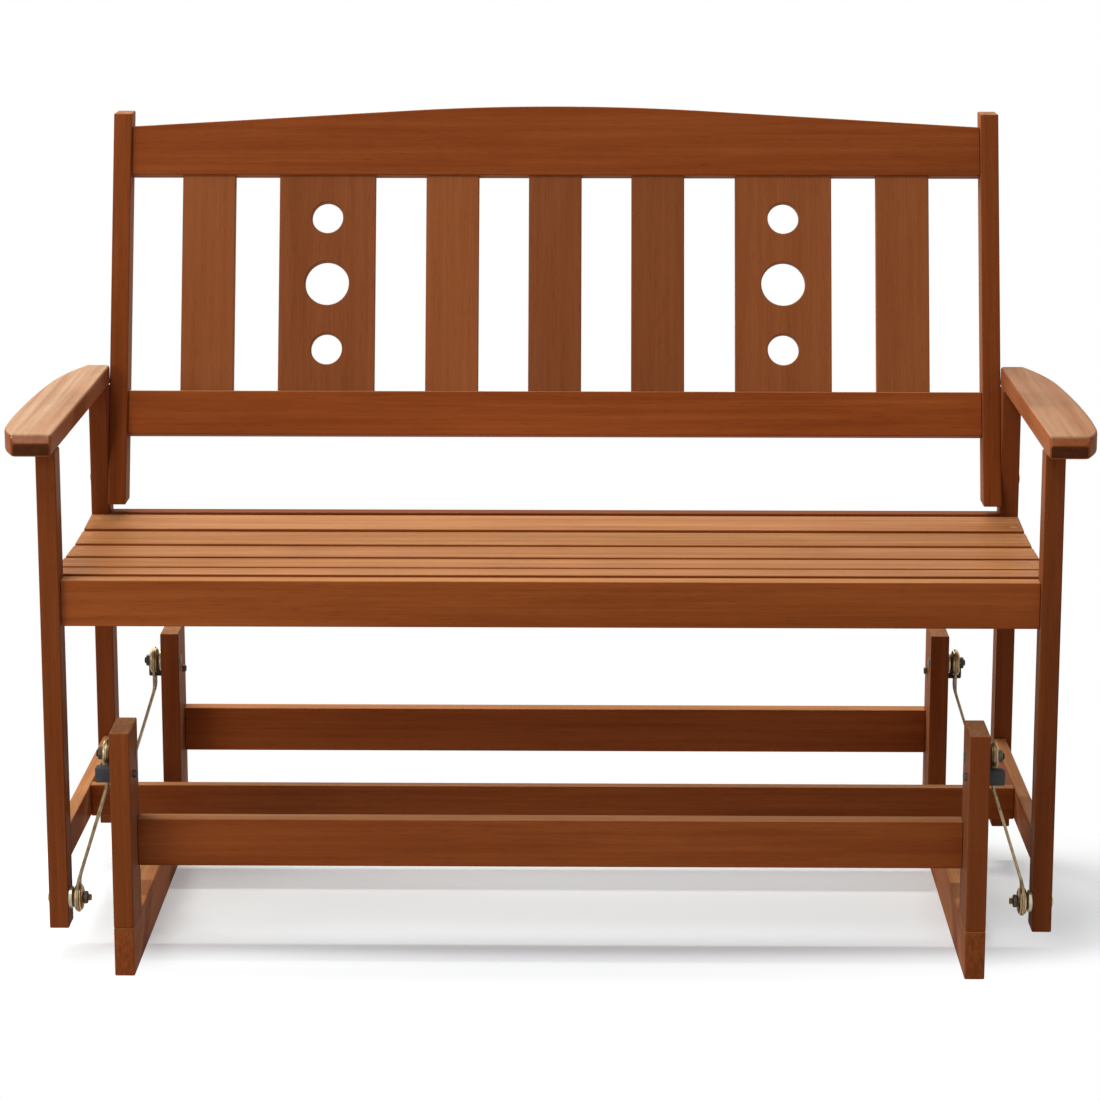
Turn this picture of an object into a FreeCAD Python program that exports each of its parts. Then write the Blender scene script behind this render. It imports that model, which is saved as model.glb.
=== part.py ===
"""Two-seat wooden glider bench: a slatted seat on four swing arms, hung from a fixed base.

Millimetres, +Z up, -Y is the front, +X is on the right of someone who looks at the front.
The origin is on the floor under the middle of the whole object. Distances called back are measured
from the front faces of the front legs, and the value middle turns them into Y.
"""
import FreeCAD, Part
import math
import os
import re
import Sketcher

Vector = FreeCAD.Vector

# Driving dimensions: the name of each cell, its value in mm, in degrees or as a share, and what it is.
DIMENSIONS = (
    ("middle", 276.8, "from the front faces of the front legs to the middle of the whole depth"),
    ("leg_inner", 556.4, "inner faces of the legs, from the centre line"),
    ("leg_board", 22.5, "thickness of legs and stiles"),
    ("leg_foot", 42, "height of the legs' lower ends above the floor"),
    ("leg_top", 602.7, "top of the legs, where the arms rest"),
    ("front_leg_width", 36, "width of a front leg, front to back"),
    ("rear_leg_back", 422, "front face of the rear legs"),
    ("rear_leg_width", 40, "width of a rear leg, front to back"),
    ("arm_board", 25, "thickness of an armrest"),
    ("arm_front", 30, "how far an armrest stands out in front of its leg"),
    ("arm_back", 461, "rear end of an armrest"),
    ("arm_front_outer", 603, "outer corner of an armrest at its front end"),
    ("arm_shoulder_outer", 616.7, "outer edge where the front curve meets the side"),
    ("arm_shoulder_back", 31, "where the front curve meets the side"),
    ("arm_widest_outer", 619, "outer edge at the widest place"),
    ("arm_widest_back", 118, "the widest place"),
    ("arm_waist_outer", 612.3, "outer edge where the rear curve starts"),
    ("arm_waist_back", 318, "where the rear curve starts"),
    ("arm_end_outer", 585.3, "outer corner at the rear end"),
    ("arm_front_curve", 150, "radius of the outer edge's front curve"),
    ("arm_shoulder_curve", 1645, "radius of the outer edge from there to the widest place"),
    ("arm_side_curve", 2985, "radius of the outer edge behind the widest place"),
    ("arm_rear_curve", 587, "radius of the outer edge's rear curve"),
    ("nose_drop", 11.5, "height of the bevel along the top front edge of an armrest"),
    ("nose_depth", 9, "depth of that bevel, front to back"),
    ("arm_corner", 7, "radius of an armrest's front corners, seen from above"),
    ("apron_back", 8, "front face of the seat's front rail"),
    ("apron_low", 399.6, "lower edge of the seat's front rail"),
    ("apron_top", 453.4, "upper edge of the seat's front rail"),
    ("rail_board", 22, "thickness of the seat's front and rear rails"),
    ("rear_rail_back", 424, "front face of the seat's rear rail"),
    ("rear_rail_low", 397, "lower edge of the seat's rear rail"),
    ("rear_rail_top", 447, "upper edge of the seat's rear rail"),
    ("side_rail_board", 20, "thickness of the seat's side rails"),
    ("side_rail_low", 400, "lower edge of the seat's side rails"),
    ("dish_radius", 1680, "radius of the seat's dished top"),
    ("dish_back", 258, "lowest line of the dished top"),
    ("dish_low", 439.8, "height of the lowest line of the dished top"),
    ("slat_count", 5, "number of seat slats"),
    ("slat_first_back", 76, "middle of the first seat slat"),
    ("slat_pitch", 76, "from one seat slat to the next"),
    ("slat_width", 64, "width of a seat slat"),
    ("slat_board", 18, "thickness of a seat slat"),
    ("slat_half_length", 578, "half the length of a seat slat"),
    ("tie_low", 119, "lower edge of the lower rails"),
    ("tie_top", 158, "upper edge of the lower rails"),
    ("tie_board", 15, "thickness of the lower rails"),
    ("stretcher_back", 196, "front face of the cross stretcher"),
    ("stretcher_board", 16, "thickness of the cross stretcher"),
    ("lean", 17.7, "how far the backrest leans back, in degrees"),
    ("stile_back", 408, "front edge of a back stile at its lower end"),
    ("stile_low", 459.5, "height of a back stile's lower end"),
    ("stile_top", 932, "height of a back stile's upper end"),
    ("stile_depth", 38, "depth of a back stile, square to its front"),
    ("rail_recess", 7, "back rails stand this far behind the stiles' fronts"),
    ("back_rail_board", 22, "thickness of the back rails"),
    ("low_rail_start", 89.6, "lower edge of the bottom rail, up the slope from the stile's end"),
    ("low_rail_end", 145.1, "upper edge of the bottom rail, up the slope"),
    ("top_rail_start", 419.3, "lower edge of the top rail, up the slope"),
    ("top_rail_end", 481.3, "upper edge of the top rail at the stiles, up the slope"),
    ("top_rail_crown", 507.5, "upper edge of the top rail at its middle, up the slope"),
    ("crown_bend", 184, "where the top rail's middle arc ends, from the centre line"),
    ("crown_drop", 5.4, "how far the middle arc drops by there"),
    ("back_slat_recess", 10.5, "back slats stand this far behind the stiles' fronts"),
    ("back_slat_board", 15, "thickness of a back slat"),
    ("narrow_slat", 66.5, "width of a narrow back slat"),
    ("wide_slat", 121, "width of a wide back slat"),
    ("inner_slat_at", 129, "middle of the inner narrow slats, from the centre line"),
    ("wide_slat_at", 286.5, "middle of the wide slats, from the centre line"),
    ("outer_slat_at", 436, "middle of the outer narrow slats, from the centre line"),
    ("slat_tenon", 8, "how deep a back slat is let into each back rail"),
    ("hole_spacing", 83.4, "from a wide slat's middle hole to the ones above and below"),
    ("middle_hole", 55, "diameter of a wide slat's middle hole"),
    ("end_hole", 39, "diameter of a wide slat's other holes"),
    ("post_outer", 498.2, "outer faces of the base posts"),
    ("post_board", 23, "thickness of the base posts and floor runners"),
    ("post_width", 72, "width of a base post, front to back"),
    ("post_top", 288, "top of the base posts"),
    ("front_post_back", -45, "front face of the front posts, and front end of the runners"),
    ("rear_post_back", 432, "front face of the rear posts"),
    ("runner_top", 57, "top of the floor runners"),
    ("cross_rail_height", 56, "height of the base's cross rails"),
    ("cross_rail_board", 23, "thickness of the base's cross rails"),
    ("front_cross_back", 4, "front face of the base's front rail"),
    ("front_cross_low", 117, "lower edge of the base's front rail"),
    ("rear_cross_back", 480, "front face of the base's rear rail"),
    ("rear_cross_low", 123, "lower edge of the base's rear rail"),
    ("front_pivot_back", 10.5, "axis of the front swing arms' pivots"),
    ("rear_pivot_back", 450.5, "axis of the rear swing arms' pivots"),
    ("upper_pivot", 249.5, "height of the upper pivots"),
    ("lower_pivot", 76.5, "height of the lower pivots"),
    ("bearing_length", 10, "length of a bearing cup along its pivot"),
    ("bearing_flange", 31, "diameter of a bearing cup's flange"),
    ("bearing_neck", 24, "diameter of a bearing cup where it sits in the arm"),
    ("upper_gap", 4.8, "from a post's outer face to its bearing cup"),
    ("lower_gap", 6.2, "from a leg's inner face to its bearing cup"),
    ("cup_taper", 3, "how far a bearing cup's ends draw in, on the radius"),
    ("cup_edge", 1.5, "how far from its ends a bearing cup starts to draw in"),
    ("sleeve", 12, "outer diameter of the sleeve that a bearing cup turns on"),
    ("sleeve_foot", 26, "diameter of a sleeve's foot against the wood"),
    ("running_fit", 0.06, "gap between a sleeve and its bearing cup, on the radius"),
    ("end_play", 0.3, "gap at each end of a bearing cup"),
    ("arm_plate", 3, "thickness of a swing arm"),
    ("arm_eye", 34, "diameter of a swing arm's eyes"),
    ("arm_strap", 24, "width of a swing arm between its eyes"),
    ("upper_bend", 214, "height of a swing arm's upper bend"),
    ("lower_bend", 97, "height of a swing arm's lower bend"),
    ("bolt", 8, "diameter of a pivot bolt"),
    ("bolt_slack", 0.1, "gap round bolts and screws, on the radius"),
    ("bolt_head", 15, "diameter of a pivot bolt's domed head"),
    ("head_rise", 2.4, "height of a leg bolt's domed head"),
    ("nut_flats", 13, "width of a nut across its flats"),
    ("nut_height", 5, "height of a nut"),
    ("upper_bolt_end", 2, "how far an upper pivot bolt stands out of its nut"),
    ("lower_bolt_end", 4, "how far a lower pivot bolt stands out of its nut"),
    ("post_head_rise", 1.5, "height of a post bolt's domed head inside its post"),
    ("bumper_length", 20, "how far a rubber bumper stands out of its post"),
    ("bumper_width", 14, "width of a rubber bumper, front to back"),
    ("bumper_height", 18, "height of a rubber bumper"),
    ("bumper_low", 223.5, "lower face of a rubber bumper"),
    ("bumper_reach", 19.3, "from a pivot's axis to the near face of its bumper"),
    ("screw", 5, "diameter of wood screws and dowel screws"),
    ("screw_head", 9, "diameter of a wood screw's head"),
    ("bumper_head_rise", 4.2, "height of a bumper screw's head inside its post"),
    ("screw_head_depth", 2.5, "depth of a wood screw's head"),
    ("screw_length", 24, "length of a slat screw below its head"),
    ("slat_screw_at", 16, "slat screws, from the middle of the slat's width"),
    ("plug_depth", 5, "depth of the wooden plug over a slat screw"),
    ("dowel", 8, "diameter of the dowels"),
    ("dowel_half", 16, "half the length of a dowel"),
    ("side_rail_dowel", 421, "height of the dowels in the seat's side rails"),
    ("stile_bolt_low", 490, "height of the lower bolt between a rear leg and its stile"),
    ("stile_bolt_top", 562, "height of the upper bolt between a rear leg and its stile"),
    ("stile_bolt_depth", 16, "how deep the stile bolts go into the stile"),
    ("frame_bolt", 6, "diameter of the frame bolts"),
    ("frame_bolt_head", 12, "diameter of a frame bolt's head"),
    ("frame_bolt_rise", 1.6, "height of a frame bolt's flat head"),
    ("bolt_depth", 32, "how deep a frame bolt goes into end grain"),
    ("edge_share", 0.25, "fastenings in pairs stand at this share of a board's width from its edges"),
    ("tie_share", 0.28, "the same for the bolts in the narrow lower rails"),
    ("stile_share_low", 0.45, "the lower stile bolt stands at this share of the stile's depth"),
    ("stile_share_top", 0.3, "the upper stile bolt stands at this share of the stile's depth"),
)

SIDES = ("left", "right")
ENDS = ("front", "rear")
WORDS = re.compile(r"\b(" + "|".join(row[0] for row in DIMENSIONS) + r")\b")

doc = FreeCAD.newDocument("glider_bench")
sheet = doc.addObject("Spreadsheet::Sheet", "Dims")
for row_number, (word, value, meaning) in enumerate(DIMENSIONS, start=1):
    sheet.set(f"A{row_number}", str(value))
    sheet.setAlias(f"A{row_number}", word)
    sheet.set(f"B{row_number}", meaning)
doc.recompute()

EDGE_PAIR = ("edge_share", "(1 - edge_share)")
TIE_PAIR = ("tie_share", "(1 - tie_share)")

nodes = []


def cells(formula):
    """The formula with each dimension's word turned into its cell of the sheet."""
    return WORDS.sub(r"Dims.\1", str(formula))


def value_of(formula):
    """The number that a formula gives now."""
    return float(sheet.evalExpression(cells(formula)))


def bind(item, path, formula):
    item.setExpression(path, cells(formula))


def sided(side, near, far):
    """The lower X of a stretch that runs from near to far on one side of the centre line."""
    if side == "right":
        return f"({near})"
    return f"-({far})"


def place(item, across, back, up, axis=None, turn=None):
    """Bind an item's place; back is measured from the front legs' front faces, turn is in degrees."""
    if turn is not None:
        item.Placement.Rotation = FreeCAD.Rotation(axis, value_of(turn))
        bind(item, "Placement.Rotation.Angle", turn)
    bind(item, "Placement.Base.x", across)
    bind(item, "Placement.Base.y", f"{back} - middle")
    bind(item, "Placement.Base.z", up)
    return item


def keep(item, name):
    """Make an item a sub-part: its label names its file."""
    item.Label = name
    nodes.append(item)
    return item


def board(label, across, back, up, width, depth, height, axis=None, turn=None):
    box = doc.addObject("Part::Box", label)
    bind(box, "Length", width)
    bind(box, "Width", depth)
    bind(box, "Height", height)
    return place(box, across, back, up, axis, turn)


def rod(label, across, back, up, diameter, length, axis):
    """A cylinder that starts at a point and runs along axis."""
    cylinder = doc.addObject("Part::Cylinder", label)
    bind(cylinder, "Radius", f"({diameter}) / 2")
    bind(cylinder, "Height", length)
    cylinder.Placement.Rotation = FreeCAD.Rotation(Vector(0, 0, 1), axis)
    return place(cylinder, across, back, up)


def group(label, items):
    compound = doc.addObject("Part::Compound", label)
    compound.Links = items
    return compound


def fuse(label, items):
    fusion = doc.addObject("Part::MultiFuse", label)
    fusion.Shapes = items
    return fusion


def bored(label, blank, cutters):
    """A blank with the space of the cutters taken out of it."""
    cut = doc.addObject("Part::Cut", label)
    cut.Base = blank
    cut.Tool = cutters[0] if len(cutters) == 1 else group(label + "_cutters", cutters)
    return cut


def outline_arc(start, end, radius):
    """An arc between two corners; a positive radius has its centre on the left of the way to end."""
    chord = end - start
    left = Vector(-chord.y, chord.x, 0).normalize()
    offset = math.sqrt(radius * radius - chord.Length * chord.Length / 4)
    centre = (start + end) * 0.5 + left * math.copysign(offset, radius)
    if radius < 0:
        start, end = end, start
    angles = [math.atan2(corner.y - centre.y, corner.x - centre.x) for corner in (start, end)]
    if angles[1] < angles[0]:
        angles[1] += 2 * math.pi
    return Part.ArcOfCircle(Part.Circle(centre, Vector(0, 0, 1), abs(radius)), *angles)


def end_at(edge, corner):
    """1 or 2, the end of an edge at a corner: an arc is stored anticlockwise, whatever its way here."""
    return 1 if (edge.StartPoint - corner).Length < (edge.EndPoint - corner).Length else 2


def profile(body, role, outline):
    """A closed sketch on one of a body's origin planes.

    Each corner is (first formula, second formula) or has a third one, the radius of an arc from
    this corner to the next. Every corner and every radius is bound to the sheet.
    """
    sketch = body.newObject("Sketcher::SketchObject", body.Name + "_outline")
    plane = [item for item in body.Origin.OriginFeatures if item.Role == role][0]
    sketch.AttachmentSupport = (plane, [""])
    sketch.MapMode = "FlatFace"
    corners = [Vector(value_of(row[0]), value_of(row[1]), 0) for row in outline]
    for number, row in enumerate(outline):
        start = corners[number]
        end = corners[(number + 1) % len(corners)]
        if len(row) > 2:
            sketch.addGeometry(outline_arc(start, end, value_of(row[2])), False)
        else:
            sketch.addGeometry(Part.LineSegment(start, end), False)
    for number, row in enumerate(outline):
        following = (number + 1) % len(outline)
        first = end_at(sketch.Geometry[number], corners[number])
        joined = end_at(sketch.Geometry[following], corners[following])
        sketch.addConstraint(Sketcher.Constraint("Coincident", number, 3 - first, following, joined))
        for kind, formula, coordinate in (("DistanceX", row[0], corners[number].x),
                                          ("DistanceY", row[1], corners[number].y)):
            constraint = sketch.addConstraint(Sketcher.Constraint(kind, -1, 1, number, first, coordinate))
            bind(sketch, f"Constraints[{constraint}]", formula)
        if len(row) > 2:
            size = abs(value_of(row[2]))
            constraint = sketch.addConstraint(Sketcher.Constraint("Radius", number, size))
            bind(sketch, f"Constraints[{constraint}]", f"abs({row[2]})")
    return sketch


def plate(label, role, outline, thickness, reverse=False):
    """A body padded from an outline on one of its own origin planes."""
    body = doc.addObject("PartDesign::Body", label)
    sketch = profile(body, role, outline)
    pad = body.newObject("PartDesign::Pad", label + "_pad")
    pad.Profile = sketch
    bind(pad, "Length", thickness)
    pad.Reversed = reverse
    return body


def turned(label, outline):
    """A body turned round its own X axis; the outline gives (place along X, radius)."""
    body = doc.addObject("PartDesign::Body", label)
    sketch = profile(body, "XZ_Plane", outline)
    turn = body.newObject("PartDesign::Revolution", label + "_turn")
    turn.Profile = sketch
    turn.ReferenceAxis = (sketch, ["H_Axis"])
    turn.Angle = 360
    return body


OUTWARD = {"left": Vector(-1, 0, 0), "right": Vector(1, 0, 0)}
OTHER = {"left": "right", "right": "left"}
BACKWARD = Vector(0, 1, 0)
UPWARD = Vector(0, 0, 1)
ACROSS = Vector(1, 0, 0)
LEANING = Vector(-1, 0, 0)

LEG_OUTER = "(leg_inner + leg_board)"
POST_INNER = "(post_outer - post_board)"
POST_MIDDLE = "(post_outer - post_board / 2)"
RAIL_MIDDLE = "(leg_inner + side_rail_board / 2)"
STILE_INNER = "(leg_inner - leg_board)"
BOLT_BORE = "(bolt + 2 * bolt_slack)"
BUMPER_MIDDLE = "(bumper_low + bumper_height / 2)"
FRONT_LEG_BACK = "front_leg_width"


def mirrored(side, across):
    """A distance from the centre line, on one side."""
    return across if side == "right" else f"-({across})"


def pair():
    """Every end and side of the bench, front left first."""
    return [(end, side) for end in ENDS for side in SIDES]


# Fastenings: each one is made once, and leaves a bore in every piece that it goes through.

bores = {}


def leave_space(names, cutter_maker):
    for name in names:
        found = bores.setdefault(name, [])
        found.append(cutter_maker(f"{name}_space_{len(found)}"))


def finish(name, blank):
    """Keep a piece as it is, or with the bores that its fastenings need."""
    if name in bores:
        return keep(bored(name + "_cut", blank, bores[name]), name)
    return keep(blank, name)


def dowel(label, names, across, back, up, axis):
    """A dowel centred on the plane where two pieces meet."""
    start = [f"({place_of} - dowel_half * {direction})"
             for place_of, direction in zip((across, back, up), axis)]
    leave_space(names, lambda tag: rod(tag, *start, "dowel + 2 * bolt_slack", "2 * dowel_half", axis))
    return rod(label, *start, "dowel", "2 * dowel_half", axis)


def frame_bolt(label, names, across, back, up, into, length):
    """A bolt with a flat round head on a board's face."""
    leave_space(names, lambda tag: rod(tag, across, back, up, "frame_bolt + 2 * bolt_slack", length, into))
    shank = rod(label + "_shank", across, back, up, "frame_bolt", length, into)
    head = rod(label + "_head", across, back, up, "frame_bolt_head", "frame_bolt_rise", -into)
    return fuse(label, [shank, head])


def base_rail_bolts():
    bolts = []
    for end, side in pair():
        for number, share in enumerate(EDGE_PAIR):
            bolts.append(frame_bolt(f"rail_bolt_{end}_{side}_{number}",
                                    [f"base_post_{end}_{side}", f"base_rail_{end}"],
                                    mirrored(side, "post_outer"),
                                    f"({end}_cross_back + cross_rail_board / 2)",
                                    f"({end}_cross_low + cross_rail_height * {share})",
                                    -OUTWARD[side], "post_board + bolt_depth"))
    keep(group("rail_bolt_group", bolts), "base_rail_bolts")


def base_dowels():
    dowels = []
    for end, side in pair():
        for number, share in enumerate(EDGE_PAIR):
            dowels.append(dowel(f"post_dowel_{end}_{side}_{number}",
                                [f"base_post_{end}_{side}", f"base_runner_{side}"],
                                mirrored(side, POST_MIDDLE), f"({end}_post_back + post_width * {share})",
                                "runner_top", UPWARD))
    keep(group("post_dowel_group", dowels), "post_dowels")


def seat_frame_bolts():
    bolts = []
    for end, side in pair():
        rail = f"seat_{end}_rail"
        low = "apron_low" if end == "front" else "rear_rail_low"
        top = "apron_top" if end == "front" else "rear_rail_top"
        back = "(apron_back + rail_board / 2)" if end == "front" else "(rear_rail_back + rail_board / 2)"
        for number, share in enumerate(EDGE_PAIR):
            bolts.append(frame_bolt(f"seat_bolt_{end}_{side}_{number}", [f"{end}_leg_{side}", rail],
                                    mirrored(side, LEG_OUTER), back, f"({low} + ({top} - {low}) * {share})",
                                    -OUTWARD[side], "leg_board + bolt_depth"))
    for side in SIDES:
        for number, (up, share) in enumerate((("stile_bolt_low", "stile_share_low"),
                                              ("stile_bolt_top", "stile_share_top"))):
            back = f"(stile_back + ({up} - stile_low) * tan(lean) + stile_depth / cos(lean) * {share})"
            bolts.append(frame_bolt(f"stile_bolt_{side}_{number}", [f"rear_leg_{side}", f"back_stile_{side}"],
                                    mirrored(side, LEG_OUTER), back, up, -OUTWARD[side],
                                    "leg_board + stile_bolt_depth"))
        for number, share in enumerate(TIE_PAIR):
            bolts.append(frame_bolt(f"tie_bolt_{side}_{number}",
                                    [f"lower_side_rail_{side}", "cross_stretcher"],
                                    mirrored(side, "(leg_inner + tie_board)"),
                                    "(stretcher_back + stretcher_board / 2)",
                                    f"(tie_low + (tie_top - tie_low) * {share})",
                                    -OUTWARD[side], "tie_board + bolt_depth"))
    keep(group("frame_bolt_group", bolts), "frame_bolts")


def seat_dowels():
    dowels = []
    for end, side in pair():
        plane = FRONT_LEG_BACK if end == "front" else "rear_leg_back"
        dowels.append(dowel(f"side_rail_dowel_{end}_{side}", [f"{end}_leg_{side}", f"seat_side_rail_{side}"],
                            mirrored(side, RAIL_MIDDLE), plane, "side_rail_dowel", BACKWARD))
        dowels.append(dowel(f"tie_dowel_{end}_{side}", [f"{end}_leg_{side}", f"lower_side_rail_{side}"],
                            mirrored(side, "(leg_inner + tie_board / 2)"), plane,
                            "((tie_low + tie_top) / 2)", BACKWARD))
        middle = "(front_leg_width / 2)" if end == "front" else "(rear_leg_back + rear_leg_width / 2)"
        dowels.append(dowel(f"arm_dowel_{end}_{side}", [f"{end}_leg_{side}", f"armrest_{side}"],
                            mirrored(side, "(leg_inner + leg_board / 2)"), middle, "leg_top", UPWARD))
    for side in SIDES:
        for rail, low, top in (("back_bottom_rail", "low_rail_start", "low_rail_end"),
                               ("back_top_rail", "top_rail_start", "top_rail_end")):
            for number, share in enumerate(EDGE_PAIR):
                back, up = on_slope(f"({low} + ({top} - {low}) * {share})",
                                    "(rail_recess + back_rail_board / 2)")
                dowels.append(dowel(f"{rail}_dowel_{side}_{number}", [rail, f"back_stile_{side}"],
                                    mirrored(side, STILE_INNER), back, up, ACROSS))
    keep(group("seat_dowel_group", dowels), "frame_dowels")


def slat_screws():
    """Countersunk screws through the seat slats' ends, each under a wooden plug."""
    screws = []
    plugs = []
    for number in range(1, int(value_of("slat_count")) + 1):
        angle = slat_angle(number)
        tilt = math.radians(value_of(angle))
        down = Vector(0, math.sin(tilt), -math.cos(tilt))
        for side in SIDES:
            for which, along in (("a", "-slat_screw_at"), ("b", "slat_screw_at")):
                label = f"slat_screw_{number}_{side}_{which}"
                names = [f"seat_slat_{number}", f"seat_side_rail_{side}"]
                across = mirrored(side, RAIL_MIDDLE)

                def below(depth):
                    return slat_point(number, along, depth)

                def cutter(tag):
                    parts = [rod(tag + "_wide", across, *below("0"), "screw_head + 2 * bolt_slack",
                                 "plug_depth + screw_head_depth", down),
                             rod(tag + "_slim", across, *below("plug_depth + screw_head_depth"),
                                 "screw + 2 * bolt_slack", "screw_length", down)]
                    return fuse(tag, parts)

                leave_space(names, cutter)
                head = rod(label + "_head", across, *below("plug_depth"), "screw_head",
                           "screw_head_depth", down)
                shank = rod(label + "_shank", across, *below("plug_depth + screw_head_depth"), "screw",
                            "screw_length", down)
                screws.append(fuse(label, [head, shank]))
                plugs.append(rod(f"slat_plug_{number}_{side}_{which}", across, *below("0"), "screw_head",
                                 "plug_depth", down))
    keep(group("slat_screw_group", screws), "slat_screws")
    keep(group("slat_plug_group", plugs), "slat_plugs")


# Pivots

def turned_at(label, outline, way, across, back, up):
    """A turned body whose own X runs to the left or to the right."""
    body = turned(label, outline)
    if way == "left":
        body.Placement.Rotation = FreeCAD.Rotation(UPWARD, 180)
    return place(body, across, back, up)


def upper_pivot_bolts():
    """A round head inside each post, and a shank out through the post, the sleeve and the nut."""
    bolts = []
    length = "(post_board + upper_gap + bearing_length + end_play + nut_height + upper_bolt_end)"
    for end, side in pair():
        start = mirrored(side, POST_INNER)
        leave_space([f"base_post_{end}_{side}"],
                    lambda tag: rod(tag, start, f"{end}_pivot_back", "upper_pivot", BOLT_BORE,
                                    "post_board", OUTWARD[side]))
        outline = [("-post_head_rise", "0"), (length, "0"), (length, "bolt / 2"), ("0", "bolt / 2"),
                   ("0", "bolt_head / 2"), ("-post_head_rise / 2", "bolt_head / 2"),
                   ("-post_head_rise", "bolt_head / 4")]
        bolts.append(turned_at(f"upper_bolt_{end}_{side}", outline, side, start,
                               f"{end}_pivot_back", "upper_pivot"))
    keep(group("upper_bolt_group", bolts), "upper_pivot_bolts")


def lower_pivot_bolts():
    """A domed head outside each leg, and a shank in through the leg, the sleeve and the nut."""
    bolts = []
    length = "(leg_board + lower_gap + bearing_length + end_play + nut_height + lower_bolt_end)"
    for end, side in pair():
        start = mirrored(side, LEG_OUTER)
        leave_space([f"{end}_leg_{side}"],
                    lambda tag: rod(tag, start, f"{end}_pivot_back", "lower_pivot", BOLT_BORE,
                                    "leg_board", -OUTWARD[side]))
        outline = [("-head_rise", "0"), (length, "0"), (length, "bolt / 2"), ("0", "bolt / 2"),
                   ("0", "bolt_head / 2"), ("-head_rise", "bolt_head / 5")]
        bolts.append(turned_at(f"lower_bolt_{end}_{side}", outline, OTHER[side], start,
                               f"{end}_pivot_back", "lower_pivot"))
    keep(group("lower_bolt_group", bolts), "lower_pivot_bolts")


def sleeves(level, gap, start, ways):
    """The steel sleeve on each bolt that a bearing cup turns on, with a wide foot against the wood."""
    rings = []
    length = f"({gap} + bearing_length + end_play)"
    foot = f"({gap} - end_play)"
    for end, side in pair():
        outline = [("0", "bolt / 2 + bolt_slack"), (length, "bolt / 2 + bolt_slack"),
                   (length, "sleeve / 2"), (foot, "sleeve / 2"), (foot, "sleeve_foot / 2"),
                   ("0", "sleeve_foot / 2")]
        rings.append(turned_at(f"{level}_sleeve_{end}_{side}", outline, ways[side], mirrored(side, start),
                               f"{end}_pivot_back", f"{level}_pivot"))
    keep(group(f"{level}_sleeve_group", rings), f"{level}_pivot_sleeves")


def nuts(level, start, ways):
    """A six-sided nut on each pivot bolt."""
    made = []
    for end, side in pair():
        label = f"{level}_nut_{end}_{side}"
        spot = (mirrored(side, start), f"{end}_pivot_back", f"{level}_pivot")
        prism = doc.addObject("Part::Prism", label + "_blank")
        prism.Polygon = 6
        bind(prism, "Circumradius", "nut_flats / 2 / cos(30)")
        bind(prism, "Height", "nut_height")
        prism.Placement.Rotation = FreeCAD.Rotation(UPWARD, OUTWARD[ways[side]])
        place(prism, *spot)
        hole = rod(label + "_hole", *spot, BOLT_BORE, "nut_height", OUTWARD[ways[side]])
        made.append(bored(label, prism, [hole]))
    keep(group(f"{level}_nut_group", made), f"{level}_pivot_nuts")


UPPER_CUP = "(post_outer + upper_gap)"
LOWER_CUP = "(leg_inner - lower_gap - bearing_length)"
UPPER_PLATE = "(post_outer + upper_gap + (bearing_length - arm_plate) / 2)"
LOWER_PLATE = "(leg_inner - lower_gap - (bearing_length + arm_plate) / 2)"


def swing_arm(end, side):
    """A flat bar bent twice, so that its lower eye stands further out than its upper one."""
    name = f"swing_arm_{end}_{side}"
    slant = f"atan(({LOWER_PLATE} - {UPPER_PLATE}) / (upper_bend - lower_bend))"
    mitre = f"arm_plate * tan({slant} / 2)"
    bent = [(UPPER_PLATE, "upper_pivot + arm_eye / 2"), (UPPER_PLATE, "upper_bend"),
            (LOWER_PLATE, "lower_bend"), (LOWER_PLATE, "lower_pivot - arm_eye / 2"),
            (f"{LOWER_PLATE} + arm_plate", "lower_pivot - arm_eye / 2"),
            (f"{LOWER_PLATE} + arm_plate", f"lower_bend + {mitre}"),
            (f"{UPPER_PLATE} + arm_plate", f"upper_bend + {mitre}"),
            (f"{UPPER_PLATE} + arm_plate", "upper_pivot + arm_eye / 2")]
    bent = [(mirrored(side, across), up) for across, up in bent]
    strip = plate(name + "_strip", "XZ_Plane", bent, "arm_eye", reverse=True)
    place(strip, "0", f"{end}_pivot_back - arm_eye / 2", "0")
    low_side = sided(side, "post_outer", "leg_inner")
    shape = [board(name + "_strap", low_side, f"{end}_pivot_back - arm_strap / 2", "lower_pivot",
                   "leg_inner - post_outer", "arm_strap", "upper_pivot - lower_pivot")]
    for level in ("upper", "lower"):
        shape.append(rod(f"{name}_{level}_eye", low_side, f"{end}_pivot_back", f"{level}_pivot", "arm_eye",
                         "leg_inner - post_outer", ACROSS))
    both = doc.addObject("Part::MultiCommon", name + "_blank")
    both.Shapes = [strip, fuse(name + "_silhouette", shape)]
    holes = [rod(f"{name}_{level}_hole", low_side, f"{end}_pivot_back", f"{level}_pivot", "bearing_neck",
                 "leg_inner - post_outer", ACROSS) for level in ("upper", "lower")]
    keep(bored(name + "_cut", both, holes), name)


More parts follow.
